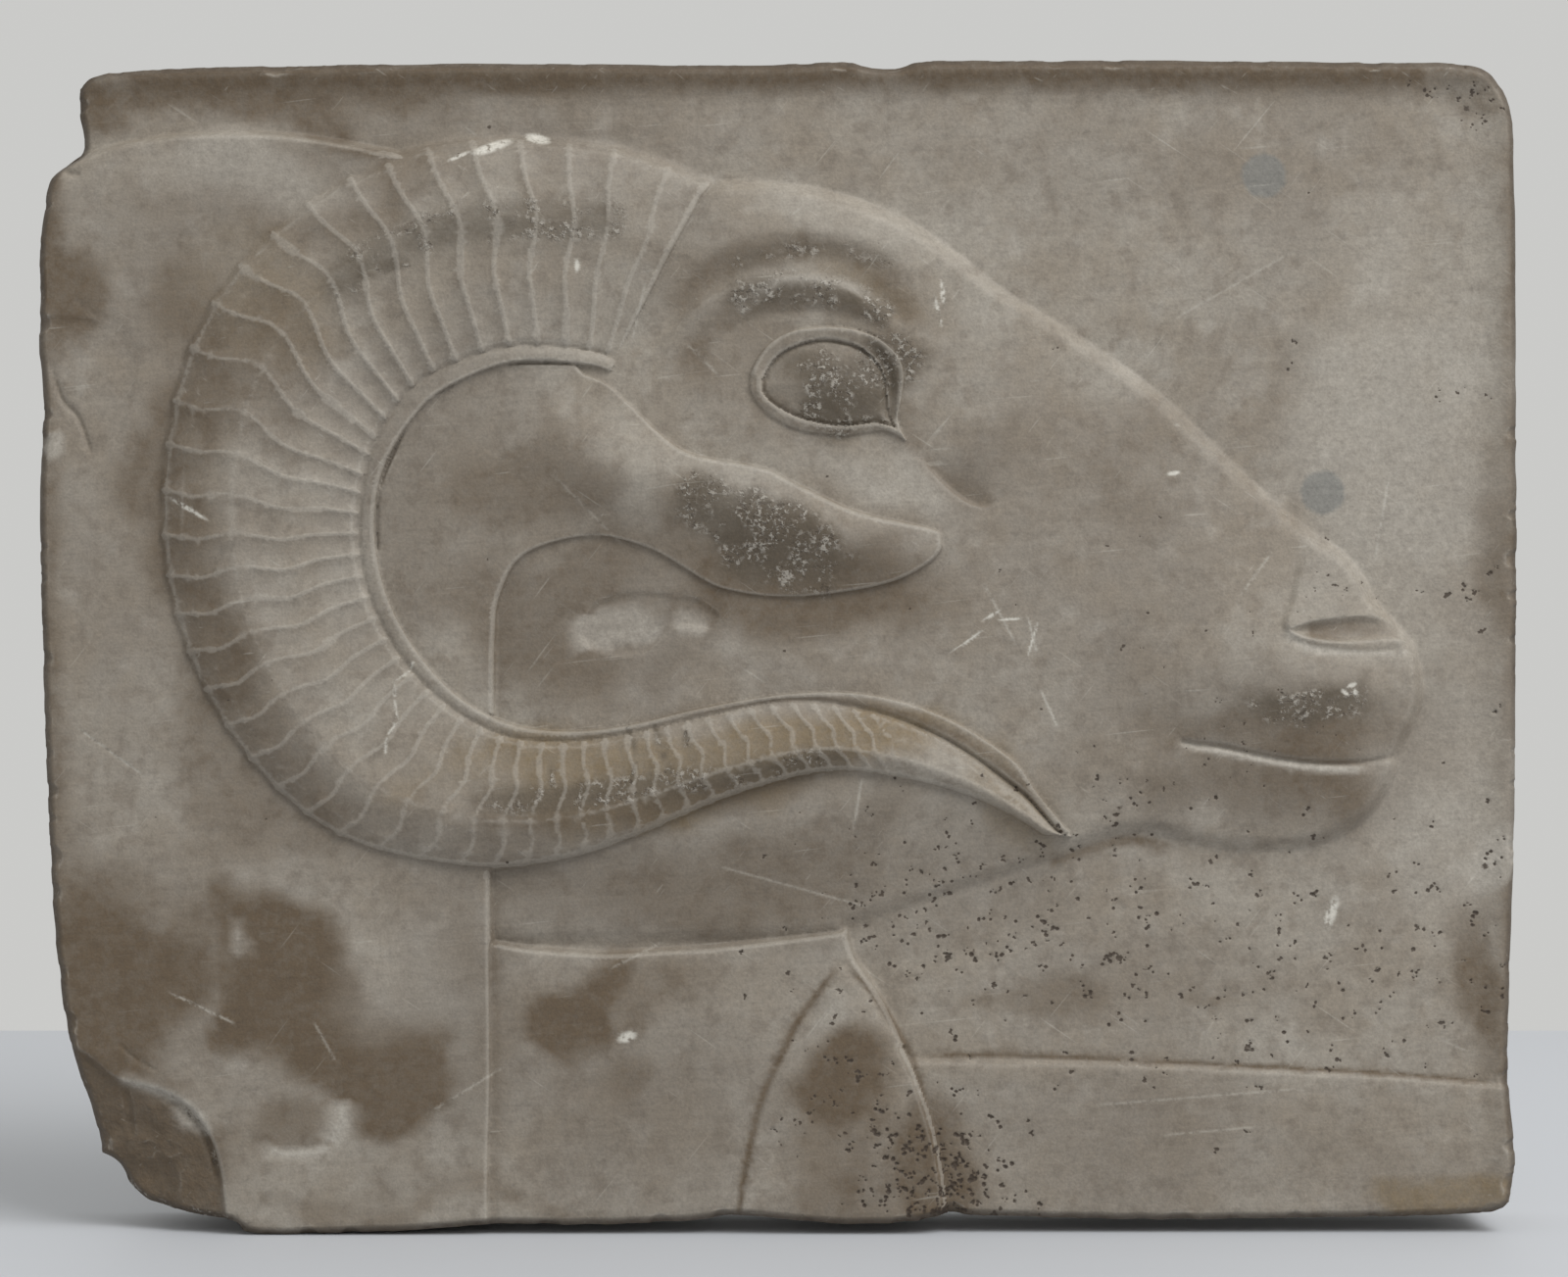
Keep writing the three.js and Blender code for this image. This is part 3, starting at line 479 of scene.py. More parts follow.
@dataclass
class Eye:
    """A ridged lid round a domed eyeball, under a lid fold, a lid bulge and a brow."""

    lid_ridge: float = 0.00058
    ridge_edge: float = 0.00022
    upper_crest: float = 0.14
    lower_crest: float = 0.8
    upper_slope: float = 0.55
    lower_slope: float = 0.75
    ball_height: float = 0.00105
    ball_width: float = 0.0046
    groove_depth: float = 0.00028
    groove_width: float = 0.0003
    corner_depth: float = 0.0005
    corner_width: float = 0.0006
    bulge_height: float = 0.0008
    bulge_outer: float = 0.0009
    bulge_inner: float = 0.0023
    brow_height: float = 0.0008
    brow_outer: float = 0.0042
    brow_inner: float = 0.0016
    fold_depth: float = 0.00015
    fold_width: float = 0.0005
    lid_reach: float = 0.004
    lid_blend: float = 0.0008

    def _lids(self, points: FacePoints, rim: Array, ball: Array) -> Array:
        """Height between the lid's outer line and the eyeball.

        At a share q of the way in, the ridge falls off from its crest at q0 as 1 - slope|q - q0|;
        the crest is near the outer line on the upper lid and near the eyeball on the lower one.

        Args:
            points: where to work it out.
            rim: depth inside the outer line.
            ball: depth inside the inner line.

        Returns:
            Heights for every point; they only matter between the two lines.
        """
        reach = self.lid_reach
        upper, _, _ = points.nearest(smooth_curve(EYE_OUTER_UPPER), reach)
        lower, _, _ = points.nearest(smooth_curve(EYE_OUTER_LOWER), reach)
        below = ease((upper - lower) / self.lid_blend + 0.5)
        inwards = np.clip(rim, 0, reach)
        share = inwards / np.maximum(inwards + np.clip(-ball, 0, reach), LEAST)
        crest = mix(self.upper_crest, self.lower_crest, below)
        slope = mix(self.upper_slope, self.lower_slope, below)
        height = self.lid_ridge * (1 - slope * np.abs(share - crest)) * shoulder(rim, self.ridge_edge)
        corner = Stroke(EYE_CORNER, fade=0.25).at(points, self.corner_width)
        return height - self.corner_depth * corner * (1 - below)

    def height(self, points: FacePoints) -> Array:
        """Dome less its groove inside the inner line, the lids round it, and folds outside."""
        rim = Area(EYE_OUTER_UPPER, EYE_OUTER_LOWER).depth(points, self.lid_reach)
        ball = Area(EYE_INNER_UPPER, EYE_INNER_LOWER).depth(points, self.ball_width)
        dome = self.ball_height * shoulder(ball, self.ball_width)
        dome = dome - self.groove_depth * hump(ball, self.groove_width)
        bulge = Stroke(LID_CREST, fade=0.3).at(points, self.bulge_outer, self.bulge_inner)
        brow = Stroke(BROW_LINE, fade=0.35).at(points, self.brow_outer, self.brow_inner)
        folds = self.bulge_height * bulge + self.brow_height * brow
        folds -= self.fold_depth * Stroke(LID_FOLD, fade=0.12).at(points, self.fold_width)
        lids = self._lids(points, rim, ball)
        return np.where(ball >= 0, dome, np.where(rim >= 0, lids, folds))


@dataclass
class Face:
    """The ram's face: forehead, eye, cheek, muzzle, nostril, mouth and chin."""

    level: float = 0.0021
    edge_width: float = 0.0018
    edge_share: float = 0.52
    round_width: float = 0.013
    throat_drop: float = 0.0009
    throat: tuple[float, float, float, float] = (800, 950, 920, 1180)
    wing_height: float = 0.0006
    wing_width: float = 0.0009
    mouth_depth: float = 0.0005
    mouth_width: float = 0.00032
    tear_depth: float = 0.00055
    tear_upper: float = 0.0024
    tear_lower: float = 0.00035
    nostril_depth: float = 0.0010
    nostril_edge: float = 0.0009
    scar_depth: float = 0.00028
    broken_edge: float = 0.0006
    eye: Eye = field(default_factory=Eye)
    forms: tuple[SoftForm, ...] = (
        SoftForm(0.0018, (1335, 700), (115, 72)),
        SoftForm(-0.0005, (1270, 905), (280, 60)),
        SoftForm(0.0005, (1345, 822), (90, 45)),
        SoftForm(-0.00035, (1200, 748), (36, 26)),
        SoftForm(0.00035, (1060, 640), (170, 120)),
        SoftForm(-0.0005, (660, 650), (150, 90)),
        SoftForm(0.00035, (850, 235), (170, 60)),
        SoftForm(-0.0003, (835, 390), (130, 90)),
    )

    def _throat_share(self, points: FacePoints) -> Array:
        """How far a point has gone down into the throat: an ease downwards times one backwards."""
        top, bottom, left, right = self.throat
        down = (SKETCH.z(top) - points.z) / (SKETCH.z(top) - SKETCH.z(bottom))
        back = (SKETCH.x(right) - points.x) / (SKETCH.x(right) - SKETCH.x(left))
        return ease(down) * ease(back)

    def height(self, points: FacePoints) -> Array:
        """Level of the face with its forms and cuts, times a crisp and a broad round of its outline."""
        outline = Area(
            FACE_PROFILE, [(868, 960), (490, 965)], [(490, 400), (590, 300)], [(640, 230), (690, 195)]
        )
        wing = Area(NOSE_FOLD, [(1480, 640), (1440, 560)], [(1400, 530), (1345, 530)])
        level = self.level - self.throat_drop * self._throat_share(points)
        for form in self.forms:
            level += form.at(points)
        level += self.wing_height * shoulder(wing.depth(points, self.wing_width), self.wing_width)
        level += self.eye.height(points)
        level -= self.mouth_depth * Stroke(MOUTH_LINE, fade=0.06).at(points, self.mouth_width)
        tear = Stroke(TEAR_LINE, fade=0.35).at(points, self.tear_upper, self.tear_lower)
        level -= self.tear_depth * tear
        nostril = Area(NOSTRIL_UPPER, NOSTRIL_LOWER).depth(points, self.nostril_edge)
        level -= self.nostril_depth * shoulder(nostril, self.nostril_edge)
        scar = Area(SCAR_OUTLINE).depth(points, self.broken_edge)
        level -= self.scar_depth * shoulder(scar, self.broken_edge)
        depth = outline.depth(points, self.round_width)
        broad = shoulder(depth, self.round_width)
        crisp = shoulder(depth, self.edge_width)
        return level * mix(broad, crisp, self.edge_share)


@dataclass
class Neck:
    """The wig, the neck panel under the jaw and the leaf-shaped strap end on it.

    The leaf stands on most of the panel's height at least, with a crisp and a broad round on top.
    """

    wig_level: float = 0.0018
    wig_edge: float = 0.0011
    panel_height: float = 0.00135
    panel_edge: float = 0.0008
    leaf_height: float = 0.00045
    leaf_edge: float = 0.0055
    leaf_crisp: float = 0.0006
    leaf_foot: float = 0.88

    def wig_height(self, points: FacePoints) -> Array:
        """Level of the wig times the round of its edge."""
        wig = Area(WIG_ARC, [(640, 200), (507, 500)], WIG_FRONT, [(-20, 1300), (-20, 200)])
        return self.wig_level * shoulder(wig.depth(points, self.wig_edge), self.wig_edge)

    def height(self, points: FacePoints) -> Array:
        """Panel level, and on the leaf its foot plus half of each round."""
        panel = Area(
            [(470, 955), (490, 957)], NECK_TOP, NECK_FRONT, LEAF_RIGHT[3:], [(470, 1300), (470, 1000)]
        )
        leaf = Area(LEAF_LEFT[::-1], LEAF_RIGHT).depth(points, self.leaf_edge)
        level = self.panel_height * shoulder(panel.depth(points, self.panel_edge), self.panel_edge)
        foot = np.maximum(level, self.panel_height * self.leaf_foot)
        round_top = 0.5 * shoulder(leaf, self.leaf_crisp) + 0.5 * shoulder(leaf, self.leaf_edge)
        return np.where(leaf > 0, foot + self.leaf_height * round_top, level)


@dataclass
class Disc:
    """The disc inside the curl, running out into the ear with its worn crest."""

    level: float = 0.0022
    edge: float = 0.0009
    crest_height: float = 0.0020
    crest_upper: float = 0.0046
    crest_lower: float = 0.0052

    def height(self, points: FacePoints) -> Array:
        """Level plus the crest's hump, times the round of the outline."""
        disc = Area(
            EAR_TOP, EAR_BOTTOM, [(440, 740), (380, 640)], [(380, 500), (420, 410)], [(500, 365), (590, 366)]
        )
        crest = Stroke(EAR_CREST, fade=0.3).at(points, self.crest_upper, self.crest_lower)
        edge = shoulder(disc.depth(points, self.edge), self.edge)
        return (self.level + self.crest_height * crest) * edge


@dataclass
class Horn:
    """The ribbed horn, laid out by spokes across it, and the plain band inside its curl.

    A spoke is its place in flutes from the forehead, its inner end, its outer end and the inner
    edge of the band. A lean or a section is a row of places and values between which it runs
    straight. A hump is its place and width as shares of the way across.
    """

    spokes: Sequence[tuple[float, tuple, tuple, tuple]] = (
        (-2.2, (629, 369), (735, 180), (624, 384)),
        (0, (602, 359), (628, 143), (596, 376)),
        (3, (521, 354), (480, 135), (524, 374)),
        (6, (445, 380), (351, 168), (459, 400)),
        (8, (409, 411), (268, 226), (427, 429)),
        (10, (386, 447), (204, 300), (404, 462)),
        (12, (373, 485), (163, 404), (391, 495)),
        (15, (367, 545), (151, 546), (387, 545)),
        (18, (378, 609), (178, 670), (399, 606)),
        (21, (410, 670), (243, 783), (428, 661)),
        (24, (456, 718), (337, 863), (471, 708)),
        (27, (513, 750), (467, 895), (523, 736)),
        (30, (576, 757), (565, 890), (580, 743)),
        (33, (641, 749), (650, 865), (639, 737)),
        (37, (722, 731), (756, 822), (717, 719)),
        (41, (808, 715), (852, 798), (803, 705)),
        (45, (890, 725), (928, 806), (881, 705)),
        (49, (968, 755), (994, 824), (957, 726)),
        (53, (1037, 803), (1050, 850), (1028, 768)),
        (55, (1060, 826), (1066, 857), (1056, 804)),
        (56.5, (1079, 848), (1080, 853), (1075, 829)),
        (58, (1092, 852), (1092.5, 854), (1091, 846)),
    )
    full_height: float = 0.0046
    band_height: float = 0.0029
    band_edge: float = 0.0005
    foot_width: float = 0.0018
    foot_share: float = 0.3
    least_foot: float = 0.0001
    groove_depth: float = 0.0003
    groove_width: float = 0.0004
    flute_depth: float = 0.00030
    hollow_power: float = 2.4
    last_flute: float = 45.0
    base_share: float = 0.62
    base_band_share: float = 0.76
    growth_length: float = 6.0
    root_length: float = 0.55
    root_share: float = 0.3
    taper_from: float = 36.0
    taper_length: float = 20.0
    tip_share: float = 0.68
    band_tip_share: float = 0.92
    lower_from: float = 20.0
    lower_length: float = 10.0
    lower_share: float = 0.5
    lean_bow: Pixels = ((0, 0.1), (2, 0.3), (4, 0.35), (8, 0.6), (10, 0.62), (12, 0.3), (15, 0))
    lean_kick: Pixels = ((0, 0.08), (10, 0.08), (15, 0.18), (16, 0.25), (56, 0.3))
    bow_hump: tuple[float, float] = (0.6, 0.2)
    upper_kick: tuple[float, float] = (0.35, 0.12)
    lower_kick: tuple[float, float] = (0.75, 0.1)
    lower_kick_share: float = 0.7
    worn_hump: tuple[float, float] = (0.58, 0.08)
    worn_share: float = 0.6
    fade_length: float = 3.0
    section: Pixels = (
        (0, 0.7), (0.06, 0.72), (0.18, 0.8), (0.3, 0.89), (0.4, 0.92), (0.58, 1), (0.66, 0.95),
        (0.74, 0.86), (0.82, 0.77), (0.9, 0.6), (0.96, 0.36), (1, 0.05),
    )

    def locate(self, points: FacePoints) -> dict[str, Array]:
        """Where each point lies on the strips between neighbouring spokes.

        A point is a share s of the way from one spoke to the next, by its distances from the two
        lines, and t of the way along the spoke blended from both by s.

        Args:
            points: where to work it out.

        Returns:
            Arrays: on (whether on the horn), flute, t, band (the band's share) and width.
        """
        flutes = np.array([spoke[0] for spoke in self.spokes])
        inner, outer, band = (smooth_curve([spoke[k] for spoke in self.spokes]) for k in (1, 2, 3))
        places = np.arange(len(inner)) / CURVE_STEPS
        flute_at = np.interp(places, np.arange(len(flutes)), flutes)
        across = outer - inner
        band_at = ((band - inner) * across).sum(axis=1) / (across**2).sum(axis=1)
        found = {name: np.zeros(len(points.x)) for name in ("on", "flute", "t", "band", "width")}
        for i in range(len(inner) - 1):
            pair = slice(i, i + 2)
            corners = np.concatenate([inner[pair] + across[pair] * band_at[pair, None], outer[pair]])
            rows = points.near(corners.min(axis=0), corners.max(axis=0))
            rows = rows[found["on"][rows] == 0]
            x = points.x[rows]
            z = points.z[rows]
            past, short = (
                (across[k, 0] * (z - inner[k, 1]) - across[k, 1] * (x - inner[k, 0])) / np.hypot(*across[k])
                for k in (i, i + 1)
            )
            between = (past >= 0) & (short <= 0)
            share = past / np.where(past - short == 0, 1.0, past - short)
            base = mix(inner[i], inner[i + 1], share[:, None])
            way = mix(across[i], across[i + 1], share[:, None])
            square = (way**2).sum(axis=1)
            t = ((x - base[:, 0]) * way[:, 0] + (z - base[:, 1]) * way[:, 1]) / square
            edge = mix(band_at[i], band_at[i + 1], share)
            hit = between & (t <= 1) & (t >= edge)
            chosen = rows[hit]
            found["on"][chosen] = 1
            found["flute"][chosen] = mix(flute_at[i], flute_at[i + 1], share)[hit]
            found["t"][chosen] = t[hit]
            found["band"][chosen] = edge[hit]
            found["width"][chosen] = np.sqrt(square)[hit]
        return found

    def area(self) -> Area:
        """The ribbed part as a closed area, out along its inner ends and back along its outer ones."""
        return Area([spoke[1] for spoke in self.spokes], [spoke[2] for spoke in self.spokes[::-1]])

    def lean(self, flute: Array, t: Array) -> Array:
        """Lean of the arrises along the horn, in flutes: a bow less two kicks, each a soft hump."""
        place, width = self.bow_hump
        bow = np.interp(flute, *np.array(self.lean_bow).T) * hump(t - place, width)
        kick = np.interp(flute, *np.array(self.lean_kick).T)
        (upper, upper_width), (lower, lower_width) = self.upper_kick, self.lower_kick
        humps = hump(t - upper, upper_width) + self.lower_kick_share * hump(t - lower, lower_width)
        return bow - kick * humps

    def height(self, points: FacePoints) -> Array:
        """Section height less the groove beside the band and the flute's hollow.

        The hollow is depth times 1 - (1 - 2a)^power at a flutes from the nearest arris.
        """
        place = self.locate(points)
        flute, t, width = place["flute"], place["t"], place["width"]
        grown = ease((flute - self.spokes[0][0]) / self.growth_length)
        tapered = ease((flute - self.taper_from) / self.taper_length)
        taper = mix(1.0, self.tip_share, tapered)
        groove = self.groove_depth * hump(t * width, self.groove_width)
        band = self.band_height * mix(1.0, self.band_tip_share, tapered)
        band = band * mix(self.base_band_share, 1.0, grown) - groove
        band = band * shoulder((t - place["band"]) * width, self.band_edge)
        phase = flute + self.lean(flute, t)
        from_arris = np.abs(phase - np.round(phase))
        worn_place, worn_width = self.worn_hump
        fading = ease((self.last_flute + self.fade_length / 2 - flute) / self.fade_length)
        fading = fading * mix(1.0, self.worn_share, hump(t - worn_place, worn_width))
        fading = fading * mix(1.0, self.lower_share, ease((flute - self.lower_from) / self.lower_length))
        hollow = self.flute_depth * fading * (1 - (1 - 2 * from_arris) ** self.hollow_power)
        crown = self.full_height * taper * mix(self.base_share, 1.0, grown)
        crown = crown * np.interp(t, *np.array(self.section).T) - hollow - groove
        foot = np.clip(self.foot_share * width, self.least_foot, self.foot_width)
        crown = crown * shoulder((1 - t) * width, foot)
        crown = crown * ease((flute - self.spokes[0][0]) / self.root_length + self.root_share)
        return np.where(place["on"] > 0, np.where(t < 0, band, crown), 0.0)


@dataclass
class Fracture:
    """The broken lower left corner, which falls away from its ridge line; reaches are in pixels."""

    depth: float = 0.0045
    step: float = 0.0008
    step_width: float = 0.0008
    reach: float = 170.0
    rough_height: float = 0.0013
    rough_reach: float = 60.0
    lump_size: float = 0.006

    def drop(self, points: FacePoints, grain: Grain) -> tuple[Array, Array]:
        """Eased slope from the ridge, a small step at it, and broken stone on the slope.

        Args:
            points: where to work it out.
            grain: noise for the broken surface.

        Returns:
            The drop, and how broken the surface is from 0 to 1.
        """
        ridge = smooth_curve(FRACTURE_RIDGE)
        reach = SKETCH.size(self.reach)
        distance, _, _ = points.nearest(ridge, reach)
        corner = SKETCH.on_panel([(236, 1340), (-40, 1340), (-40, 1050), (70, 1060)])
        broken = points.inside(np.concatenate([ridge, corner]))
        slope = self.depth * ease(distance / reach) + self.step * ease(distance / self.step_width)
        rough = self.rough_height * ease(distance / SKETCH.size(self.rough_reach))
        lumps = np.abs(grain.at(points.x, points.z, self.lump_size, octaves=4))
        share = np.where(broken, ease(distance / self.step_width), 0.0)
        return np.where(broken, slope + rough * lumps, 0.0), share


@dataclass(frozen=True)
class PitField:
    """Small pits scattered about a place on the sketch."""

    centre: tuple[float, float]
    spread: tuple[float, float]
    count: int
    reach: float
    depth: float


@dataclass
class Flaws:
    """Pits in the face, chips along its edges and the cracks and scoops of its left side."""

    fields: tuple[PitField, ...] = (
        PitField((1250, 975), (190, 70), 170, 0.00036, 0.00018),
        PitField((1010, 960), (90, 50), 75, 0.00034, 0.00018),
        PitField((930, 890), (70, 42), 60, 0.00032, 0.00016),
        PitField((1400, 1000), (110, 80), 40, 0.00034, 0.00016),
        PitField((955, 1190), (34, 38), 120, 0.00038, 0.00022),
        PitField((975, 1228), (44, 12), 60, 0.00036, 0.0002),
        PitField((905, 1180), (16, 22), 16, 0.00042, 0.00022),
        PitField((1210, 700), (80, 90), 34, 0.00024, 0.00012),
        PitField((1150, 825), (28, 26), 20, 0.00030, 0.00018),
        PitField((1360, 605), (20, 14), 9, 0.00022, 0.00012),
        PitField((1335, 800), (60, 40), 14, 0.00024, 0.00012),
        PitField((1490, 610), (14, 10), 6, 0.00030, 0.00016),
        PitField((1320, 365), (6, 12), 4, 0.00030, 0.00016),
        PitField((1500, 395), (22, 12), 6, 0.00026, 0.00012),
        PitField((862, 1112), (28, 32), 44, 0.00026, 0.00014),
        PitField((1530, 900), (8, 150), 16, 0.00034, 0.00022),
        PitField((1500, 95), (26, 18), 26, 0.00030, 0.00016),
        PitField((800, 600), (400, 300), 40, 0.00018, 0.00010),
    )
    size_range: tuple[float, float] = (0.4, 0.95)
    depth_range: tuple[float, float] = (0.6, 1.2)
    most_hollows: int = 4
    hollow_spread: float = 0.9
    hollow_range: tuple[float, float] = (0.35, 0.8)
    dark_edge: float = 1.5
    dark_soft: float = 0.8
    chip_count: int = 110
    chip_reach: float = 0.0016
    chip_depth: float = 0.0006
    least_chip: float = 0.2
    least_chip_reach: float = 0.35
    least_chip_depth: float = 0.25
    chip_wall: float = 2.2
    seed: int = 23

    def pits(self, points: FacePoints) -> tuple[Array, Array]:
        """Each pit is one to four round hollows that may overlap, depth times 1 - (d/reach)^2.

        Args:
            points: where to work them out.

        Returns:
            The depth of the pits, and how dark their insides are from 0 to 1.
        """
        rng = np.random.default_rng(self.seed)
        hollow = np.zeros(len(points.x))
        dark = np.zeros(len(points.x))
        for pit_field in self.fields:
            places = rng.normal(0.0, 1.0, (pit_field.count, 2)) * pit_field.spread + pit_field.centre
            for place in SKETCH.on_panel(places):
                size = pit_field.reach * rng.uniform(*self.size_range)
                depth = pit_field.depth * rng.uniform(*self.depth_range)
                count = rng.integers(1, self.most_hollows + 1)
                for offset in rng.normal(0.0, self.hollow_spread * size, (count, 2)):
                    centre = place + offset
                    reach = size * rng.uniform(*self.hollow_range)
                    edge = self.dark_edge * reach
                    rows = points.near(centre - edge, centre + edge)
                    away = np.hypot(points.x[rows] - centre[0], points.z[rows] - centre[1]) / reach
                    hollow[rows] = np.maximum(hollow[rows], depth * clamp01(1 - away**2))
                    shade = clamp01((self.dark_edge - away) / self.dark_soft)
                    dark[rows] = np.maximum(dark[rows], shade)
        return hollow, dark

    def chips(self, points: FacePoints, ring: Array) -> Array:
        """Shell-shaped breaks along the slab's edge: depth times an ease from their own edge.

        Args:
            points: where to work them out.
            ring: the slab's outline.

        Returns:
            The depth of the chips.
        """
        rng = np.random.default_rng(self.seed + 1)
        hollow = np.zeros(len(points.x))
        for _ in range(self.chip_count):
            centre = ring[rng.integers(len(ring))]
            size = rng.uniform(self.least_chip, 1.0) ** 2
            reach = np.array([1.0, rng.uniform(0.5, 1.0)])
            reach = reach * mix(self.least_chip_reach, 1.0, size) * self.chip_reach
            rows = points.near(centre - reach, centre + reach)
            across = (points.x[rows] - centre[0]) / reach[0]
            up = (points.z[rows] - centre[1]) / reach[1]
            depth = self.chip_depth * mix(self.least_chip_depth, 1.0, size)
            shell = depth * ease((1 - np.hypot(across, up)) * self.chip_wall)
            hollow[rows] = np.maximum(hollow[rows], shell)
        return hollow

    def cracks(self, points: FacePoints) -> Array:
        """Depth of the cracks and creases that stand out on the left side.

        Each is its points on the sketch, its depth and its width.
        """
        lines = (
            (((50, 358), (63, 405), (80, 425), (90, 451), (95, 471)), 0.00030, 0.00028),
            (((70, 300), (92, 318), (131, 338), (142, 366)), 0.00012, 0.0003),
            (((120, 1062), (140, 1080), (168, 1096)), 0.00014, 0.0002),
            (((126, 1104), (130, 1130), (131, 1168)), 0.00034, 0.0004),
            (((150, 1106), (185, 1128), (210, 1158), (222, 1195), (228, 1215)), 0.00040, 0.0005),
            (((62, 165), (72, 178), (84, 176)), 0.0003, 0.0004),
            (((270, 1170), (300, 1178), (330, 1172), (352, 1150)), 0.00012, 0.0005),
            (((76, 739), (110, 765), (153, 795)), 0.00006, 0.00012),
        )
        hollow = np.zeros(len(points.x))
        for line, depth, width in lines:
            hollow += depth * Stroke(line, fade=0.25).at(points, width)
        return hollow


@dataclass
class Marks:
    """Chalky dabs, knocks and scratches on the face, and a white spot on the muzzle that is partly worn and
    partly a painted glint.

    A dab is its centre and reach on the sketch and its turn in degrees; a scratch is its two ends,
    and how white it is.
    """

    dabs: tuple = (
        ((503, 151), (19, 5), 22), ((548, 141), (12, 5), -14), ((470, 161), (11, 1.8), 24),
        ((962, 299), (2.2, 12), 4), ((957, 318), (1.6, 14), 14), ((1360, 932), (5, 15), -18),
        # Dabs at (1376, 699), (1369, 706) and (1380, 706): a white spot on the muzzle, partly a worn spot
        # and partly a painted glint.
        ((1376, 699), (5, 2), 20), ((1369, 706), (4, 2), -40), ((1380, 706), (2, 3), 0),
        ((1011, 628), (9, 1.3), 30), ((1030, 632), (11, 1.2), 4),
        ((1053, 652), (1, 16), -16), ((985, 655), (20, 0.7), 34), ((196, 520), (20, 2), -30),
        ((590, 273), (2, 6), 0), ((640, 1058), (9, 5), 20), ((1197, 483), (6, 2), 10),
    )
    scratches: tuple = (
        ((424, 674), (418, 687), 0.9), ((418, 687), (404, 694), 0.9), ((404, 694), (405, 712), 0.8),
        ((405, 712), (408, 736), 0.8), ((408, 736), (398, 750), 0.9), ((398, 750), (396, 770), 0.8),
        ((76, 739), (153, 795), 0.4), ((1047, 627), (1058, 668), 0.5), ((1300, 560), (1262, 610), 0.35),
        ((660, 285), (645, 350), 0.35), ((700, 350), (735, 385), 0.3), ((1060, 702), (1080, 745), 0.5),
        ((560, 480), (640, 560), 0.2), ((1000, 590), (1040, 665), 0.35),
        ((170, 1010), (245, 1046), 0.45), ((430, 1140), (520, 1085), 0.3), ((320, 1040), (345, 1085), 0.3),
        ((1100, 1130), (1350, 1110), 0.25), ((1180, 1160), (1290, 1150), 0.25),
        ((620, 990), (680, 960), 0.3), ((880, 790), (870, 850), 0.4), ((720, 880), (900, 930), 0.25),
        ((1190, 330), (1330, 250), 0.22), ((1420, 480), (1404, 575), 0.3), ((1470, 1060), (1500, 1075), 0.3),
    )
    half_width: float = 0.00012
    dab_edge: float = 1.35
    dab_soft: float = 0.6
    scratch_edge: float = 1.5
    taper_rate: float = 6.0

    def at(self, points: FacePoints) -> Array:
        """How chalky each point is: strength times a fall-off past each mark's edge.

        A scratch falls off with the distance from its line and towards its two ends.

        Args:
            points: where to work it out.

        Returns:
            Shares from 0 to 1.
        """
        chalk_and_glint = np.zeros(len(points.x))
        for centre, reach, turn in self.dabs:
            middle = SKETCH.on_panel([centre])[0]
            across, up = (SKETCH.size(r) for r in reach)
            edge = self.dab_edge * max(across, up)
            rows = points.near(middle - edge, middle + edge)
            angle = math.radians(turn)
            x = points.x[rows] - middle[0]
            z = points.z[rows] - middle[1]
            u = (x * math.cos(angle) + z * math.sin(angle)) / across
            v = (z * math.cos(angle) - x * math.sin(angle)) / up
            dab = clamp01((self.dab_edge - np.hypot(u, v)) / self.dab_soft)
            chalk_and_glint[rows] = np.maximum(chalk_and_glint[rows], dab)
        width = self.half_width
        for a, b, strength in self.scratches:
            start, end = SKETCH.on_panel([a, b])
            rows = points.near(np.minimum(start, end) - 2 * width, np.maximum(start, end) + 2 * width)
            run = end - start
            dx = points.x[rows] - start[0]
            dz = points.z[rows] - start[1]
            share = clamp01((dx * run[0] + dz * run[1]) / float(run @ run))
            away = np.hypot(dx - share * run[0], dz - share * run[1]) / width
            taper = ease(share * self.taper_rate) * ease((1 - share) * self.taper_rate)
            scratch = strength * taper * clamp01(self.scratch_edge - away)
            chalk_and_glint[rows] = np.maximum(chalk_and_glint[rows], scratch)
        return chalk_and_glint


class Tone(Enum):
    """Colours laid on the stone, as stains and in some places as painted shade and painted highlights; each
    is an attribute of the slab's mesh.
    """

    UMBER = "umber"
    OCHRE = "ochre"
    GREY = "grey"
    PATINA = "patina"
    PALE = "pale"


@dataclass(frozen=True)
class Drift:
    """How the stains and the painted shade and highlights run: the face's points, the same pushed about by
    noise, and a waver of edges.
    """

    points: FacePoints
    x: Array
    z: Array
    waver: Array


@dataclass(frozen=True)
class Blot:
    """A patch of colour, for a stain, and in some places for painted shade and painted highlights: its
    centre and reach on the sketch, its turn in degrees, strength and softness.
    """

    centre: tuple[float, float]
    reach: tuple[float, float]
    turn: float
    strength: float
    soft: float

    def at(self, drift: Drift) -> Array:
        """Strength times an ease of how far the drifted point lies inside the wavering ellipse."""
        turn = math.radians(self.turn)
        x = drift.x - SKETCH.x(self.centre[0])
        z = drift.z - SKETCH.z(self.centre[1])
        u = (x * math.cos(turn) + z * math.sin(turn)) / SKETCH.size(self.reach[0])
        v = (z * math.cos(turn) - x * math.sin(turn)) / SKETCH.size(self.reach[1])
        away = np.sqrt(u * u + v * v) + drift.waver
        return self.strength * ease((1 - away) / self.soft + 0.5)


@dataclass(frozen=True)
class Smear:
    """A band of colour along a curve on the sketch, for a stain, and in some places for a line of painted
    shade and painted highlight: its points, half width in pixels and strength.
    """

    FADE = 0.12
    FULLNESS = 1.25
    PATCHINESS = 2.2

    points: Pixels
    width: float
    strength: float

    def at(self, drift: Drift) -> Array:
        """Strength times the curve's soft hump, made patchy by the waver."""
        stroke = Stroke(self.points, self.FADE).at(drift.points, SKETCH.size(self.width))
        return self.strength * clamp01(stroke * (self.FULLNESS + self.PATCHINESS * drift.waver))
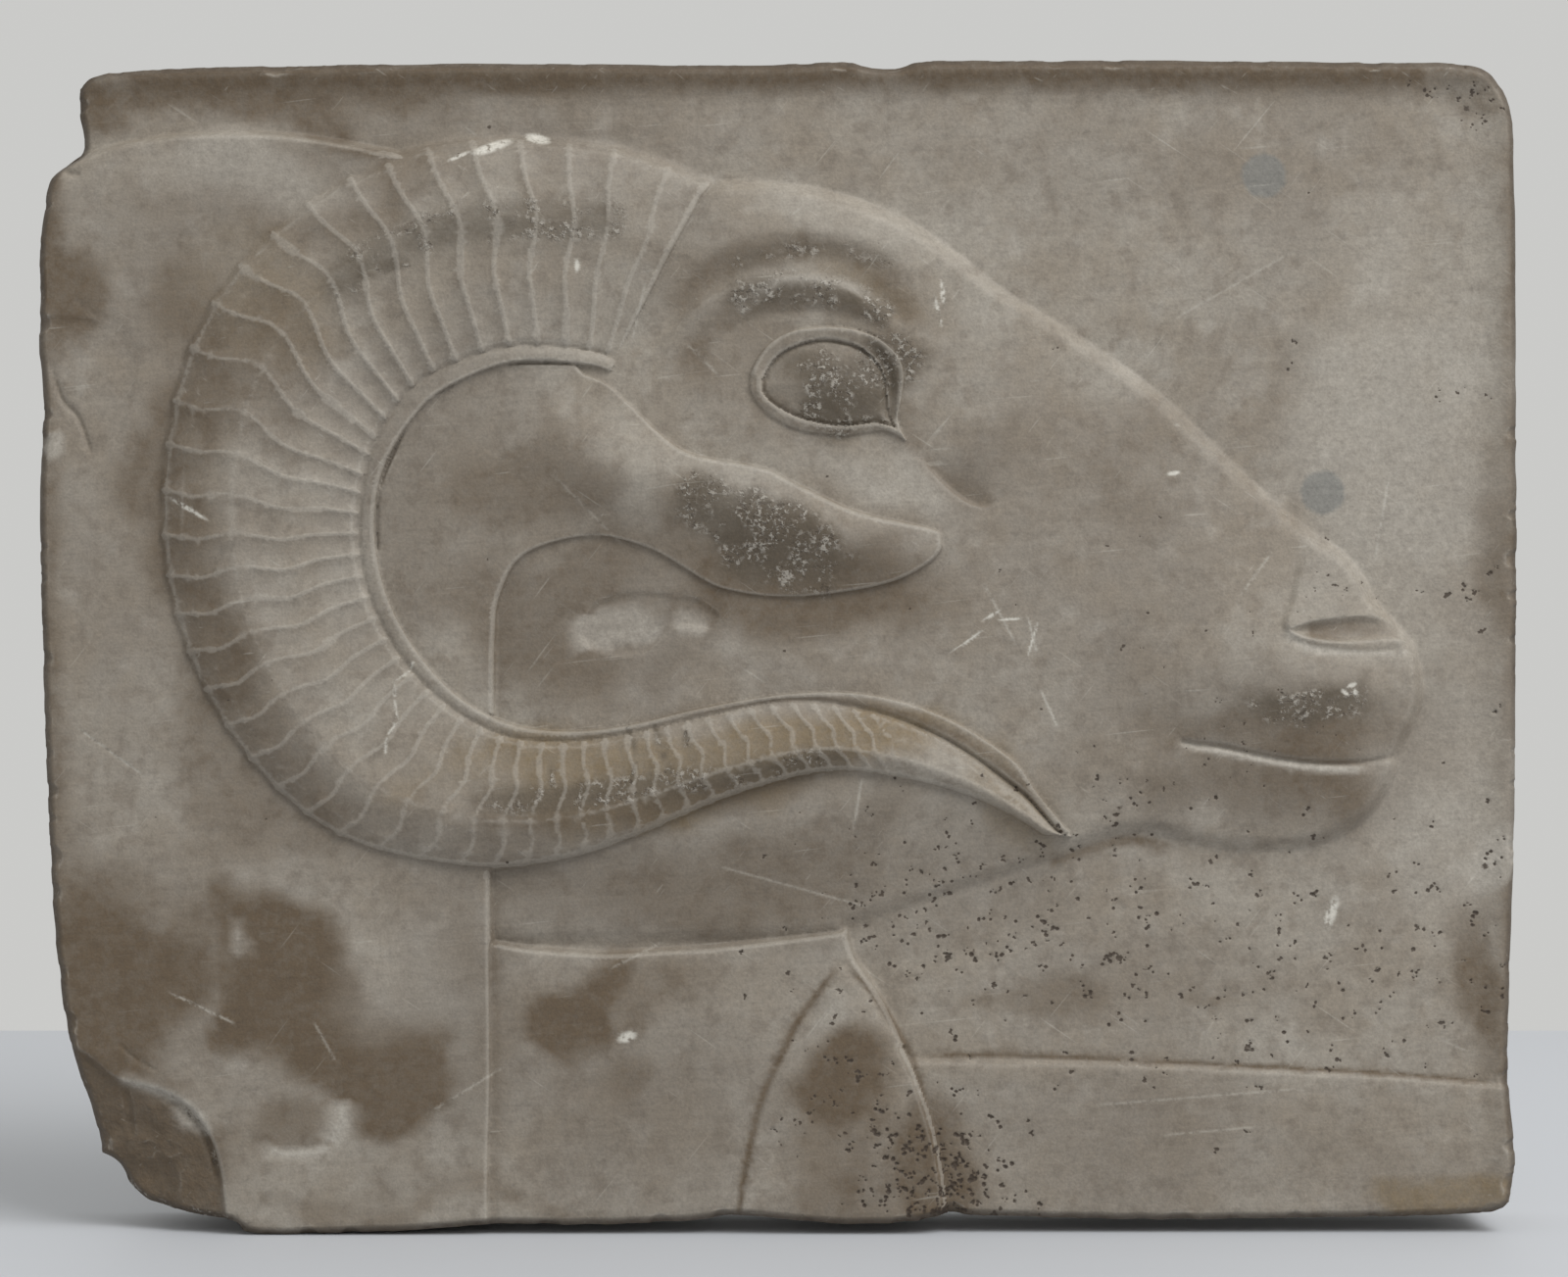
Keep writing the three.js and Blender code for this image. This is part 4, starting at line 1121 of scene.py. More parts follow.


# Stains, and in some places painted shade and painted highlights, each noted where it stands.
STAINS_AND_PAINTED_LIGHT: dict[Tone, tuple[Blot | Smear, ...]] = {
    Tone.UMBER: (
        Blot((232, 945), (60, 40), 0, 0.9, 0.6), Blot((285, 1010), (120, 58), -52, 1.0, 0.5),
        Blot((385, 1105), (70, 62), -40, 0.9, 0.45), Blot((160, 960), (110, 60), 0, 0.5, 0.9),
        # Blot at (810, 575): painted shade on the ear's lower half, which faces down, laid with its brown
        # patina.
        Blot((845, 392), (64, 44), 0, 0.6, 0.6), Blot((810, 575), (150, 38), -6, 0.8, 0.8),
        Blot((760, 400), (50, 60), 0, 0.3, 0.9), Blot((300, 1155), (60, 26), 10, 0.6, 0.6),
        Blot((332, 972), (13, 12), 0, 0.6, 0.4), Blot((110, 1020), (80, 120), 10, 0.95, 0.9),
        Blot((150, 1180), (90, 75), 0, 0.8, 0.8), Blot((585, 1030), (48, 46), 0, 1.0, 0.6),
        Blot((650, 1015), (80, 30), 20, 0.5, 0.8), Blot((650, 1095), (26, 34), 0, 0.45, 0.8),
        Blot((864, 1120), (66, 68), 0, 1.0, 0.7), Blot((864, 1112), (50, 56), 0, 1.0, 0.4),
        Blot((1370, 790), (90, 70), 0, 0.8, 0.9), Blot((1320, 735), (110, 34), 0, 0.5, 0.9),
        Blot((850, 1180), (62, 90), 0, 0.45, 0.9), Blot((1055, 1028), (62, 24), 6, 0.5, 0.7),
        Blot((1234, 1026), (16, 12), 0, 0.4, 0.7), Blot((1530, 1000), (28, 85), 0, 0.8, 0.8),
        Blot((1532, 680), (26, 250), 0, 0.6, 0.9), Blot((1190, 750), (36, 26), 0, 0.4, 0.9),
        Blot((250, 92), (230, 30), 2, 0.8, 0.9), Blot((95, 112), (30, 45), 0, 0.9, 0.8),
        Blot((1508, 90), (42, 32), 0, 0.4, 0.9), Blot((62, 260), (34, 120), 0, 0.9, 0.9),
        # Blots at (205, 560) and (225, 400): the horn's left outer flank darker, partly brown stain and
        # partly painted shade where it faces away from the light.
        Blot((205, 560), (44, 250), 4, 0.7, 0.9), Blot((225, 400), (50, 110), -24, 0.45, 0.9),
        Blot((270, 800), (110, 60), -42, 0.45, 0.9), Blot((330, 200), (110, 34), 22, 0.4, 0.9),
        Blot((560, 650), (70, 90), 0, 0.5, 0.8), Blot((530, 480), (70, 44), 20, 0.5, 0.8),
        Blot((430, 580), (70, 130), 0, 0.25, 0.9), Blot((690, 535), (50, 34), -20, 0.5, 0.7),
        # Blot at (810, 600): painted shade along the ear's lower edge, with its patina.
        Blot((810, 600), (150, 22), 3, 0.5, 0.8), Blot((470, 1235), (220, 12), 0, 0.35, 0.9),
        Blot((730, 895), (150, 44), 8, 0.4, 0.9), Blot((1130, 480), (90, 70), 0, 0.3, 0.9),
        Blot((1300, 820), (110, 45), 0, 0.3, 0.9), Blot((945, 1195), (56, 50), 0, 0.9, 0.8),
        Smear(((864, 984), (897, 1023), (930, 1078), (946, 1133), (965, 1216)), 3, 0.8),
        Smear(((934, 1078), (1060, 1079), (1195, 1085), (1405, 1096), (1540, 1107)), 2.5, 0.9),
        Smear(((70, 88), (300, 82), (700, 78), (1000, 74), (1300, 74), (1560, 80)), 15, 1.0),
        Smear(((70, 84), (300, 76), (700, 73), (1000, 70), (1300, 70), (1560, 74)), 11, 1.0),
        # Painted shade: the hollow under the brow, and the crease above the eye's outer rim.
        Smear(((687, 330), (727, 277), (798, 252), (861, 256), (908, 292), (930, 345)), 15, 0.6),
        Smear(((694, 400), (723, 345), (766, 313), (837, 306), (893, 326), (930, 372)), 14, 0.55),
        Smear(((1542, 80), (1544, 400), (1543, 700), (1540, 1240)), 9, 0.65),
        Smear(((62, 160), (48, 400), (50, 700), (66, 1020), (80, 1120)), 15, 0.6),
        Smear(((1070, 884), (1100, 872), (1150, 858), (1200, 866)), 5, 0.7),
        # Painted shade in the nostril's slit.
        Smear(((1330, 646), (1380, 642), (1430, 650)), 8, 0.8),
        Smear(((470, 828), (560, 830), (640, 822), (740, 806), (840, 788)), 20, 0.6),
        # Dark line at the foot of the wig's front edge: partly dirt and partly painted shade.
        Smear(((505, 900), (506, 1100), (505, 1260)), 6, 0.4),
        # Painted shade: dark line along the leaf's left edge, which faces away from the light.
        Smear(((748, 1270), (772, 1138), (800, 1071), (818, 1036), (857, 984)), 3.5, 0.9),
        Smear(((640, 738), (800, 713), (890, 720), (968, 746), (1035, 792), (1080, 842)), 3, 0.6),
        Smear(((330, 152), (365, 156), (400, 158)), 5, 0.8),
        # Painted shade along the mouth's line and under the lower lip.
        Smear(((1180, 752), (1260, 772), (1340, 786), (1430, 780)), 9, 0.4),
        Smear(((920, 400), (935, 460), (975, 500), (1015, 512)), 9, 0.5),
    ),
    Tone.OCHRE: (
        Blot((700, 780), (230, 46), 6, 0.9, 0.7), Blot((860, 755), (110, 40), 4, 1.0, 0.8),
        Blot((1475, 1225), (60, 24), 0, 0.85, 0.7), Blot((890, 300), (60, 26), -30, 0.6, 0.9),
        Blot((250, 320), (70, 70), 0, 0.4, 0.9), Blot((1010, 800), (60, 34), -38, 0.5, 0.9),
        Blot((620, 800), (120, 30), 4, 0.6, 0.9),
    ),
    Tone.GREY: (
        Blot((1290, 735), (100, 44), 0, 0.7, 0.9), Blot((700, 900), (260, 60), 4, 0.6, 0.9),
        Blot((440, 520), (120, 170), 0, 0.5, 0.9), Blot((980, 890), (120, 60), 8, 0.45, 0.9),
        Blot((1270, 700), (150, 60), 0, 0.35, 0.9), Blot((1310, 830), (120, 45), 0, 0.6, 0.9),
        Blot((620, 640), (120, 90), 0, 0.6, 0.9), Blot((1000, 480), (34, 26), -40, 0.6, 0.8),
        Blot((1120, 150), (120, 60), 0, 0.3, 0.9), Blot((1150, 1180), (320, 60), 0, 0.35, 0.9),
        Blot((1190, 1010), (150, 60), 0, 0.3, 0.9), Blot((450, 1080), (90, 130), 0, 0.6, 0.9),
        Blot((640, 1130), (140, 110), 0, 0.5, 0.9), Blot((370, 170), (240, 60), 14, 0.45, 0.9),
        Blot((720, 260), (80, 90), 0, 0.45, 0.9), Blot((190, 300), (90, 130), 0, 0.3, 0.9),
        Blot((1300, 690), (90, 50), 0, 0.7, 0.9),
        Smear(((215, 640), (300, 790), (460, 850), (640, 838), (820, 790)), 22, 0.5),
    ),
    Tone.PATINA: (
        Blot((775, 540), (105, 32), -14, 0.88, 0.6), Blot((845, 392), (62, 44), 0, 1.0, 0.8),
        Blot((700, 520), (34, 26), -30, 0.8, 0.7), Blot((395, 265), (20, 11), 20, 0.8, 0.5),
        Blot((357, 282), (14, 10), 20, 0.8, 0.5), Blot((1345, 712), (80, 34), -8, 0.9, 0.8),
        Blot((1320, 740), (40, 12), 0, 0.5, 0.8), Blot((1500, 88), (46, 22), 0, 0.3, 0.8),
        Smear(((100, 1185), (140, 1228), (200, 1242), (250, 1256)), 8, 0.9),
        Smear(((150, 1106), (185, 1128), (210, 1158), (222, 1195)), 3, 0.9),
        Smear(((640, 738), (650, 770), (645, 802)), 2.5, 0.9),
        Smear(((668, 736), (676, 765), (690, 800)), 2.5, 0.9),
        Smear(((700, 742), (706, 780)), 2.5, 0.8), Smear(((560, 768), (566, 802)), 2.5, 0.7),
        Smear(((880, 352), (903, 375), (908, 405), (912, 432)), 4, 0.8),
        Smear(((470, 815), (560, 815), (640, 804), (700, 796), (780, 784), (880, 768)), 14, 0.8),
        Smear(((330, 310), (380, 268), (450, 236), (520, 226), (600, 228), (650, 226)), 20, 0.7),
        Smear(((740, 310), (800, 296), (860, 302), (915, 330)), 17, 0.8),
        Smear(((740, 275), (800, 258), (860, 256), (920, 270)), 9, 0.5),
        Smear(((1010, 778), (1050, 812), (1085, 838)), 11, 0.2),
    ),
    Tone.PALE: (
        # Blot at (1440, 440): upper right ground paler, partly the stone's tone and partly painted light;
        # blot at (900, 225): painted highlight along the forehead's upward slope.
        Blot((1440, 440), (90, 190), 0, 0.55, 0.9), Blot((900, 225), (120, 30), -18, 0.3, 0.9),
        Blot((1380, 585), (34, 40), -50, 0.2, 0.9), Blot((215, 185), (100, 40), 6, 0.5, 0.9),
        Blot((630, 640), (44, 24), 18, 0.6, 0.3), Blot((704, 622), (30, 16), 0, 0.55, 0.35),
        Blot((860, 1020), (26, 24), 0, 0.3, 0.9), Blot((390, 1000), (60, 50), -30, 0.3, 0.9),
        Blot((1514, 868), (24, 34), 0, 0.8, 0.6), Blot((930, 500), (60, 34), -30, 0.6, 0.9),
        Blot((1480, 830), (60, 120), 0, 0.4, 0.9), Blot((196, 1120), (22, 14), -35, 0.7, 0.6),
        Blot((215, 962), (12, 12), 0, 0.6, 0.5), Blot((68, 462), (12, 10), 0, 0.7, 0.5),
        Blot((335, 560), (22, 150), 0, 0.2, 0.9),
        Smear(((338, 1165), (346, 1148), (352, 1124)), 12, 1.0),
        Smear(((270, 1171), (300, 1178), (338, 1170)), 4, 1.0),
        # Painted highlights: the lower lip's upward face by the mouth, the lid's crest, and the edge of the
        # fold under the nostril.
        Smear(((1198, 757), (1260, 769), (1340, 783), (1400, 785)), 4, 0.9),
        Smear(((744, 330), (790, 290), (850, 288), (890, 305)), 4, 0.5),
        Smear(((1306, 640), (1330, 660), (1367, 666), (1401, 667), (1448, 664)), 4, 0.8),
        Smear(((118, 1100), (160, 1112), (198, 1133), (216, 1160)), 6, 0.9),
    ),
}


def standing_errors(height: Array) -> Array:
    """How far each grid point stands off the facets that leave it out.

    Every point of the grid halves the long side of one pair of right-angled facets, and its error
    is |height - mean of that side's two ends|.

    Args:
        height: heights on a grid of 2^k + 1 points each way.

    Returns:
        An error for every grid point.
    """
    error = np.zeros_like(height)
    h = height
    step = 1
    while step < len(height) - 1:
        wide = 2 * step
        odd = slice(step, None, wide)
        even = slice(None, None, wide)
        low = slice(None, -1, wide)
        high = slice(wide, None, wide)
        error[odd, even] = np.abs(h[odd, even] - (h[low, even] + h[high, even]) / 2)
        error[even, odd] = np.abs(h[even, odd] - (h[even, low] + h[even, high]) / 2)
        count = np.arange((len(height) - 1) // wide)
        falling = (count[:, None] + count[None, :]) % 2 == 0
        ends = np.where(falling, h[low, low] + h[high, high], h[high, low] + h[low, high])
        error[odd, odd] = np.abs(h[odd, odd] - ends / 2)
        step = wide
    return error


def passed_up(error: Array) -> Array:
    """Raises each point's error to at least that of the finer points that need it.

    The middle of a side needs the centres of the four half cells about it, and the centre of a
    cell needs the middles of its four sides, so that neighbouring facets always meet.

    Args:
        error: an error for every grid point.

    Returns:
        The same array, raised.
    """
    step = 1
    while step < len(error) - 1:
        wide = 2 * step
        half = step // 2
        odd = slice(step, None, wide)
        even = slice(None, None, wide)
        if half:
            centres = np.pad(error[half::step, half::step], 1)
            rows = np.maximum(centres[:-1], centres[1:])
            around = np.maximum(rows[:, :-1], rows[:, 1:])
            error[odd, even] = np.maximum(error[odd, even], around[1::2, ::2])
            error[even, odd] = np.maximum(error[even, odd], around[::2, 1::2])
        upright = np.maximum(error[:-1:wide, odd], error[wide::wide, odd])
        level = np.maximum(error[odd, :-1:wide], error[odd, wide::wide])
        error[odd, odd] = np.maximum(error[odd, odd], np.maximum(upright, level))
        step = wide
    return error


def grid_facets(error: Array, limit: float) -> tuple[Array, Array]:
    """Right-angled facets over a grid, halved wherever the error is above the limit.

    A facet a, b, c with its right angle at c is halved at m, the middle of a and b, into c, a, m
    and b, c, m. All facets of a level are halved at once.

    Args:
        error: what passed_up gives.
        limit: greatest error that is left.

    Returns:
        The numbers of the grid points in use, and rows of three places in that list,
        anticlockwise seen from the front.
    """
    size = len(error) - 1
    a = np.array([[0, 0], [size, size]])
    b = np.array([[size, size], [0, 0]])
    c = np.array([[size, 0], [0, size]])
    done = []
    while len(a):
        total = a + b
        m = total // 2
        split = (total % 2 == 0).all(axis=1) & (error[m[:, 0], m[:, 1]] > limit)
        done.append(np.stack([a[~split], b[~split], c[~split]], axis=1))
        a, b, c, m = a[split], b[split], c[split], m[split]
        a, b, c = np.concatenate([c, b]), np.concatenate([a, c]), np.concatenate([m, m])
    facets = np.concatenate(done)
    used, places = np.unique(facets[:, :, 0] * (size + 1) + facets[:, :, 1], return_inverse=True)
    return used, places.reshape(-1, 3)


def patch(ring: Array) -> Array:
    """Coons patch within a closed ring of 4n points, anticlockwise from the lower left corner.

    P(u, v) = (1-v) B(u) + v T(u) + (1-u) L(v) + u R(v) less the blend of the four corners.

    Args:
        ring: rows of x and z.

    Returns:
        Grid of points, rows going up.
    """
    cells = len(ring) // 4
    closed = np.concatenate([ring, ring[:1]])
    bottom, right, top, left = (closed[i * cells:(i + 1) * cells + 1] for i in range(4))
    top, left = top[::-1], left[::-1]
    u = np.linspace(0, 1, cells + 1)[None, :, None]
    v = np.linspace(0, 1, cells + 1)[:, None, None]
    between = (1 - v) * bottom[None] + v * top[None] + (1 - u) * left[:, None] + u * right[:, None]
    corners = (1 - v) * ((1 - u) * bottom[0] + u * bottom[-1]) + v * ((1 - u) * top[0] + u * top[-1])
    return between - corners


def ring_numbers(cells: int) -> Array:
    """Numbers of a grid's border points, anticlockwise from its lower left corner."""
    side = np.arange(cells)
    rows = np.concatenate([0 * side, side, 0 * side + cells, cells - side])
    cols = np.concatenate([side, 0 * side + cells, cells - side, 0 * side])
    return rows * (cells + 1) + cols


def blurred(grid: Array, reach: int) -> Array:
    """Mean over a square of 2 reach + 1 grid points each way, by running sums."""
    out = grid
    width = 2 * reach + 1
    for axis in (0, 1):
        edges = [(0, 0), (0, 0)]
        edges[axis] = (reach + 1, reach)
        total = np.cumsum(np.pad(out, edges, mode="edge"), axis=axis)
        out = (np.take(total, range(width, total.shape[axis]), axis=axis)
               - np.take(total, range(total.shape[axis] - width), axis=axis)) / width
    return out


def make_mesh(name: str, vertices: Array, faces: Array) -> bpy.types.Object:
    """Puts whole arrays of vertices and faces into a new object.

    Args:
        name: of the object and its mesh.
        vertices: rows of x, y and z.
        faces: rows of vertex numbers, three or four in each.

    Returns:
        The object, linked to the scene.
    """
    mesh = bpy.data.meshes.new(name)
    mesh.vertices.add(len(vertices))
    mesh.vertices.foreach_set("co", vertices.astype(np.float32).ravel())
    mesh.loops.add(faces.size)
    mesh.loops.foreach_set("vertex_index", faces.astype(np.int32).ravel())
    mesh.polygons.add(len(faces))
    mesh.polygons.foreach_set("loop_start", np.arange(0, faces.size, faces.shape[1], dtype=np.int32))
    mesh.polygons.foreach_set("use_smooth", np.ones(len(faces), dtype=bool))
    mesh.update(calc_edges=True)
    obj = bpy.data.objects.new(name, mesh)
    bpy.context.scene.collection.objects.link(obj)
    return obj


@dataclass
class Slab:
    """The whole carved slab: its carved face, rough sides and plainly dressed back."""

    thickness: float = GROUND_THICKNESS
    edge_wear: float = 0.0009
    facet_error: float = 0.000036
    arris_height: float = 0.00003
    plain_wear_and_shade: float = 0.3
    chalk_shown: float = 0.15
    drift: float = 0.007
    waver: float = 0.4
    back_error: float = 0.00004
    front_jag: float = 0.0002
    back_jag: float = 0.0006
    side_hollow: float = 0.0006
    side_rows: int = 10
    wave_height: float = 0.00004
    flake_depth: float = 0.0002
    flake_edge: float = 0.0006
    tool_mark_depth: float = 0.00025
    tool_mark_stretch: float = 0.4
    jag_size: float = 0.005
    wave_size: float = 0.012
    drift_size: float = 0.016
    waver_size: float = 0.006
    side_lump_size: float = 0.004
    side_run: float = 4.0
    tool_mark_size: float = 0.006
    arris_reach: float = 3 / FULL_CELLS
    rim_reach: float = 1.2
    front_seed: int = 7
    back_seed: int = 8
    side_seed: int = 9
    dressing_seed: int = 10
    face_seed: int = 41
    ground: Ground = field(default_factory=Ground)
    face: Face = field(default_factory=Face)
    neck: Neck = field(default_factory=Neck)
    disc: Disc = field(default_factory=Disc)
    horn: Horn = field(default_factory=Horn)
    fracture: Fracture = field(default_factory=Fracture)
    flaws: Flaws = field(default_factory=Flaws)
    marks: Marks = field(default_factory=Marks)

    def ring(self, cells: int, jag: float, seed: int) -> tuple[Array, Array]:
        """The slab's outline as points in order, anticlockwise from its lower left corner.

        Args:
            cells: spans on each of its four sides.
            jag: how far its small breaks go inwards.
            seed: of the noise for the breaks.

        Returns:
            The points, and the inward direction at each.
        """
        sides = [SLAB_BOTTOM, SLAB_RIGHT[::-1], SLAB_TOP[::-1], SLAB_LEFT]
        curves = [smooth_curve(side, OUTLINE_STEPS) for side in sides]
        ring = np.concatenate([even_points(curve, cells + 1)[:-1] for curve in curves])
        run = np.roll(ring, -1, axis=0) - np.roll(ring, 1, axis=0)
        run /= np.hypot(*run.T)[:, None]
        inward = np.stack([-run[:, 1], run[:, 0]], axis=1)
        breaks = np.abs(Grain(seed).at(ring[:, 0], ring[:, 1], self.jag_size, octaves=4))
        return ring + inward * (jag * breaks)[:, None], inward

    def carved(self, points: FacePoints) -> Array:
        """Height of the carving above the ground: the highest of its parts, less the flake."""
        height = self.ground.height(points)
        parts = (self.face, self.neck, self.disc, self.horn)
        for surface in (self.neck.wig_height, *(part.height for part in parts)):
            height = np.maximum(height, surface(points))
        flake = Area(FLAKE_EDGE, [(10, 486), (10, 322)]).depth(points, self.flake_edge)
        return height - self.flake_depth * shoulder(flake, self.flake_edge)

    def front(self) -> tuple[Array, Array, Array, dict[str, Array]]:
        """The carved face, from a fine grid over the outline thinned where the stone is plain.

        Returns:
            Vertices, facets, the numbers of the grid points in use, and the stone's attributes.
        """
        ring, _ = self.ring(GRID_CELLS, self.front_jag, self.front_seed)
        flat = patch(ring).reshape(-1, 2)
        points = FacePoints(flat[:, 0], flat[:, 1])
        closed = np.concatenate([ring[::COARSE_STEP], ring[:1]])
        from_edge, _, _ = points.nearest(closed, self.edge_wear)
        grain = Grain(self.face_seed)
        drop, broken = self.fracture.drop(points, grain)
        pits, dark = self.flaws.pits(points)
        height = self.thickness + self.carved(points) - drop
        height -= self.edge_wear * (1 - shoulder(from_edge, self.edge_wear))
        height -= self.flaws.chips(points, ring) + self.flaws.cracks(points)
        height += self.wave_height * grain.at(points.x, points.z, self.wave_size, octaves=3)
        shape = (GRID_CELLS + 1, GRID_CELLS + 1)
        smooth = points.restored(height).reshape(shape)
        height_grid = smooth - points.restored(pits).reshape(shape)
        reach = max(1, round(self.arris_reach * GRID_CELLS))
        inner = points.restored(from_edge).reshape(shape) / self.edge_wear
        ribbed = points.restored(points.inside(self.horn.area().rim)).reshape(shape)
        # Share of the fine convexity that turns into pale arrises and dark hollows, partly wear and dirt and
        # partly painted highlight and painted shade: all on the ribbed horn, less elsewhere, none at the
        # slab's edge.
        wear_and_shade = np.where(ribbed, 1.0, self.plain_wear_and_shade) * (inner >= 1)
        masks = {
            "arris": (smooth - blurred(smooth, reach)) / self.arris_height * wear_and_shade,
            "rim": ease(self.rim_reach - inner),
            "pit": points.restored(dark).reshape(shape),
            "chalk_and_glint": points.restored(self.marks.at(points)).reshape(shape),
            "broken": points.restored(broken).reshape(shape),
        }
        drift = Drift(
            points,
            points.x + self.drift * grain.at(points.x, points.z, self.drift_size, octaves=5),
            points.z + self.drift * grain.at(points.z, points.x, self.drift_size, octaves=5),
            self.waver * grain.at(points.x, points.z, self.waver_size, octaves=4),
        )
        for kind, overlays in STAINS_AND_PAINTED_LIGHT.items():
            stains_and_painted_light = np.zeros(len(points.x))
            for overlay in overlays:
                stains_and_painted_light = np.maximum(stains_and_painted_light, overlay.at(drift))
            masks[kind.value] = points.restored(stains_and_painted_light).reshape(shape)
        error = standing_errors(height_grid)
        error[masks["chalk_and_glint"] > self.chalk_shown] = np.inf
        error[::COARSE_STEP, ::COARSE_STEP] = np.inf
        used, facets = grid_facets(passed_up(error), self.facet_error)
        vertices = np.stack([flat[used, 0], -height_grid.ravel()[used], flat[used, 1]], axis=1)
        log.info("carved face: %d vertices, %d facets", len(vertices), len(facets))
        return vertices, facets, used, {name: mask.ravel()[used] for name, mask in masks.items()}

    def sides(self, front: Array, used: Array) -> tuple[Array, Array, Array]:
        """The four rough sides: rows from the worn front edge back to the flat back.

        Row r lies a share r of the way back, blended from the front's outline to the back's and
        hollowed inwards by noise times sin(pi r). The front's border points fan into the first row.

        Args:
            front: vertices of the carved face.
            used: the grid points that they are.

        Returns:
            Vertices, facets that count the front's vertices first, and the last row's outline.
        """
        border = ring_numbers(GRID_CELLS)
        place = np.minimum(np.searchsorted(used, border), len(used) - 1)
        starts = np.flatnonzero(used[place] == border)
        ends = np.append(starts[1:], len(border))
        columns = len(border) // COARSE_STEP
        column = starts // COARSE_STEP
        late = (starts + ends) / 2 >= (column + 0.5) * COARSE_STEP
        edge = place[starts]
        base = len(front)
        first_row = base + np.arange(columns)
        fan = np.stack([np.roll(edge, -1), edge, first_row[(column + late) % columns]], axis=1)
        _, turn = np.unique(column[late], return_index=True)
        closing = np.stack([edge[late][turn], first_row, np.roll(first_row, -1)], axis=1)
        share = np.arange(1, self.side_rows + 1)[:, None] / self.side_rows
        front_edge = front[place[::COARSE_STEP]]
        back_ring, inward = self.ring(COARSE_CELLS, self.back_jag, self.back_seed)
        outline = mix(front_edge[None][:, :, [0, 2]], back_ring[None], share[:, :, None])
        along = np.arange(columns)[None, :] * self.side_run * self.thickness / COARSE_CELLS
        along, behind = np.broadcast_arrays(along, self.thickness * share)
        lumps = np.abs(Grain(self.side_seed).at(along, behind, self.side_lump_size, octaves=3))
        hollow = self.side_hollow * lumps * np.sin(np.pi * share)
        outline = outline + inward[None] * hollow[:, :, None]
        depth = front_edge[None, :, 1] * (1 - share)
        rows = np.stack([outline[:, :, 0], depth, outline[:, :, 1]], axis=2).reshape(-1, 3)
        upper = base + np.arange((self.side_rows - 1) * columns)
        step = np.where((upper - base) % columns == columns - 1, 1 - columns, 1)
        lower = upper + columns
        outer = np.stack([upper + step, upper, lower], axis=1)
        inner = np.stack([upper + step, lower, lower + step], axis=1)
        return rows, np.concatenate([fan, closing, outer, inner]), outline[-1]

    def back(self, outline: Array, border: Array, start: int) -> tuple[Array, Array]:
        """The flat back with shallow marks of its dressing.

        Args:
            outline: the ring that it fills.
            border: vertex numbers of that ring.
            start: number of its first vertex of its own.

        Returns:
            Vertices and facets.
        """
        grid = patch(outline)
        x, z = grid[:, :, 0] * self.tool_mark_stretch, grid[:, :, 1]
        marks = np.abs(Grain(self.dressing_seed).at(x, z, self.tool_mark_size, octaves=3))
        marks[[0, -1], :] = 0
        marks[:, [0, -1]] = 0
        height = self.tool_mark_depth * marks
        error = standing_errors(height)
        error.ravel()[ring_numbers(COARSE_CELLS)] = np.inf
        used, facets = grid_facets(passed_up(error), self.back_error)
        xz = grid.reshape(-1, 2)[used]
        vertices = np.stack([xz[:, 0], -height.ravel()[used], xz[:, 1]], axis=1)
        numbers = start + np.arange(len(used))
        numbers[np.searchsorted(used, ring_numbers(COARSE_CELLS))] = border
        return vertices, numbers[facets][:, ::-1]

    def build(self) -> bpy.types.Object:
        """The whole slab as one closed mesh with the stone's attributes."""
        front, front_facets, used, masks = self.front()
        rows, side_facets, outline = self.sides(front, used)
        start = len(front) + len(rows)
        border = start - len(outline) + np.arange(len(outline))
        back, back_facets = self.back(outline, border, start)
        vertices = np.concatenate([front, rows, back])
        facets = np.concatenate([front_facets, side_facets, back_facets])
        kept, facets = np.unique(facets, return_inverse=True)
        low, high = (np.array(corner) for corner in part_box("relief_panel"))
        slab = make_mesh("carved_slab", np.clip(vertices[kept], low, high), facets.reshape(-1, 3))
        plain = np.zeros(len(vertices) - len(front))
        masks["dressed"] = np.zeros(len(front))
        for name, mask in masks.items():
            rest = plain + 1 if name == "dressed" else plain
            values = np.concatenate([mask, rest])[kept].astype(np.float32)
            slab.data.attributes.new(name, "FLOAT", "POINT").data.foreach_set("value", values)
        log.info("carved_slab: %d vertices, %d facets", len(kept), len(facets.reshape(-1, 3)))
        return slab


def tone(red: int, green: int, blue: int) -> tuple[float, float, float, float]:
    """A colour as a paint chart gives it, from 0 to 255, as linear light."""
    return (*((value / FULL_TONE) ** GAMMA for value in (red, green, blue)), 1.0)


Socket = bpy.types.NodeSocket
Value = float | Socket


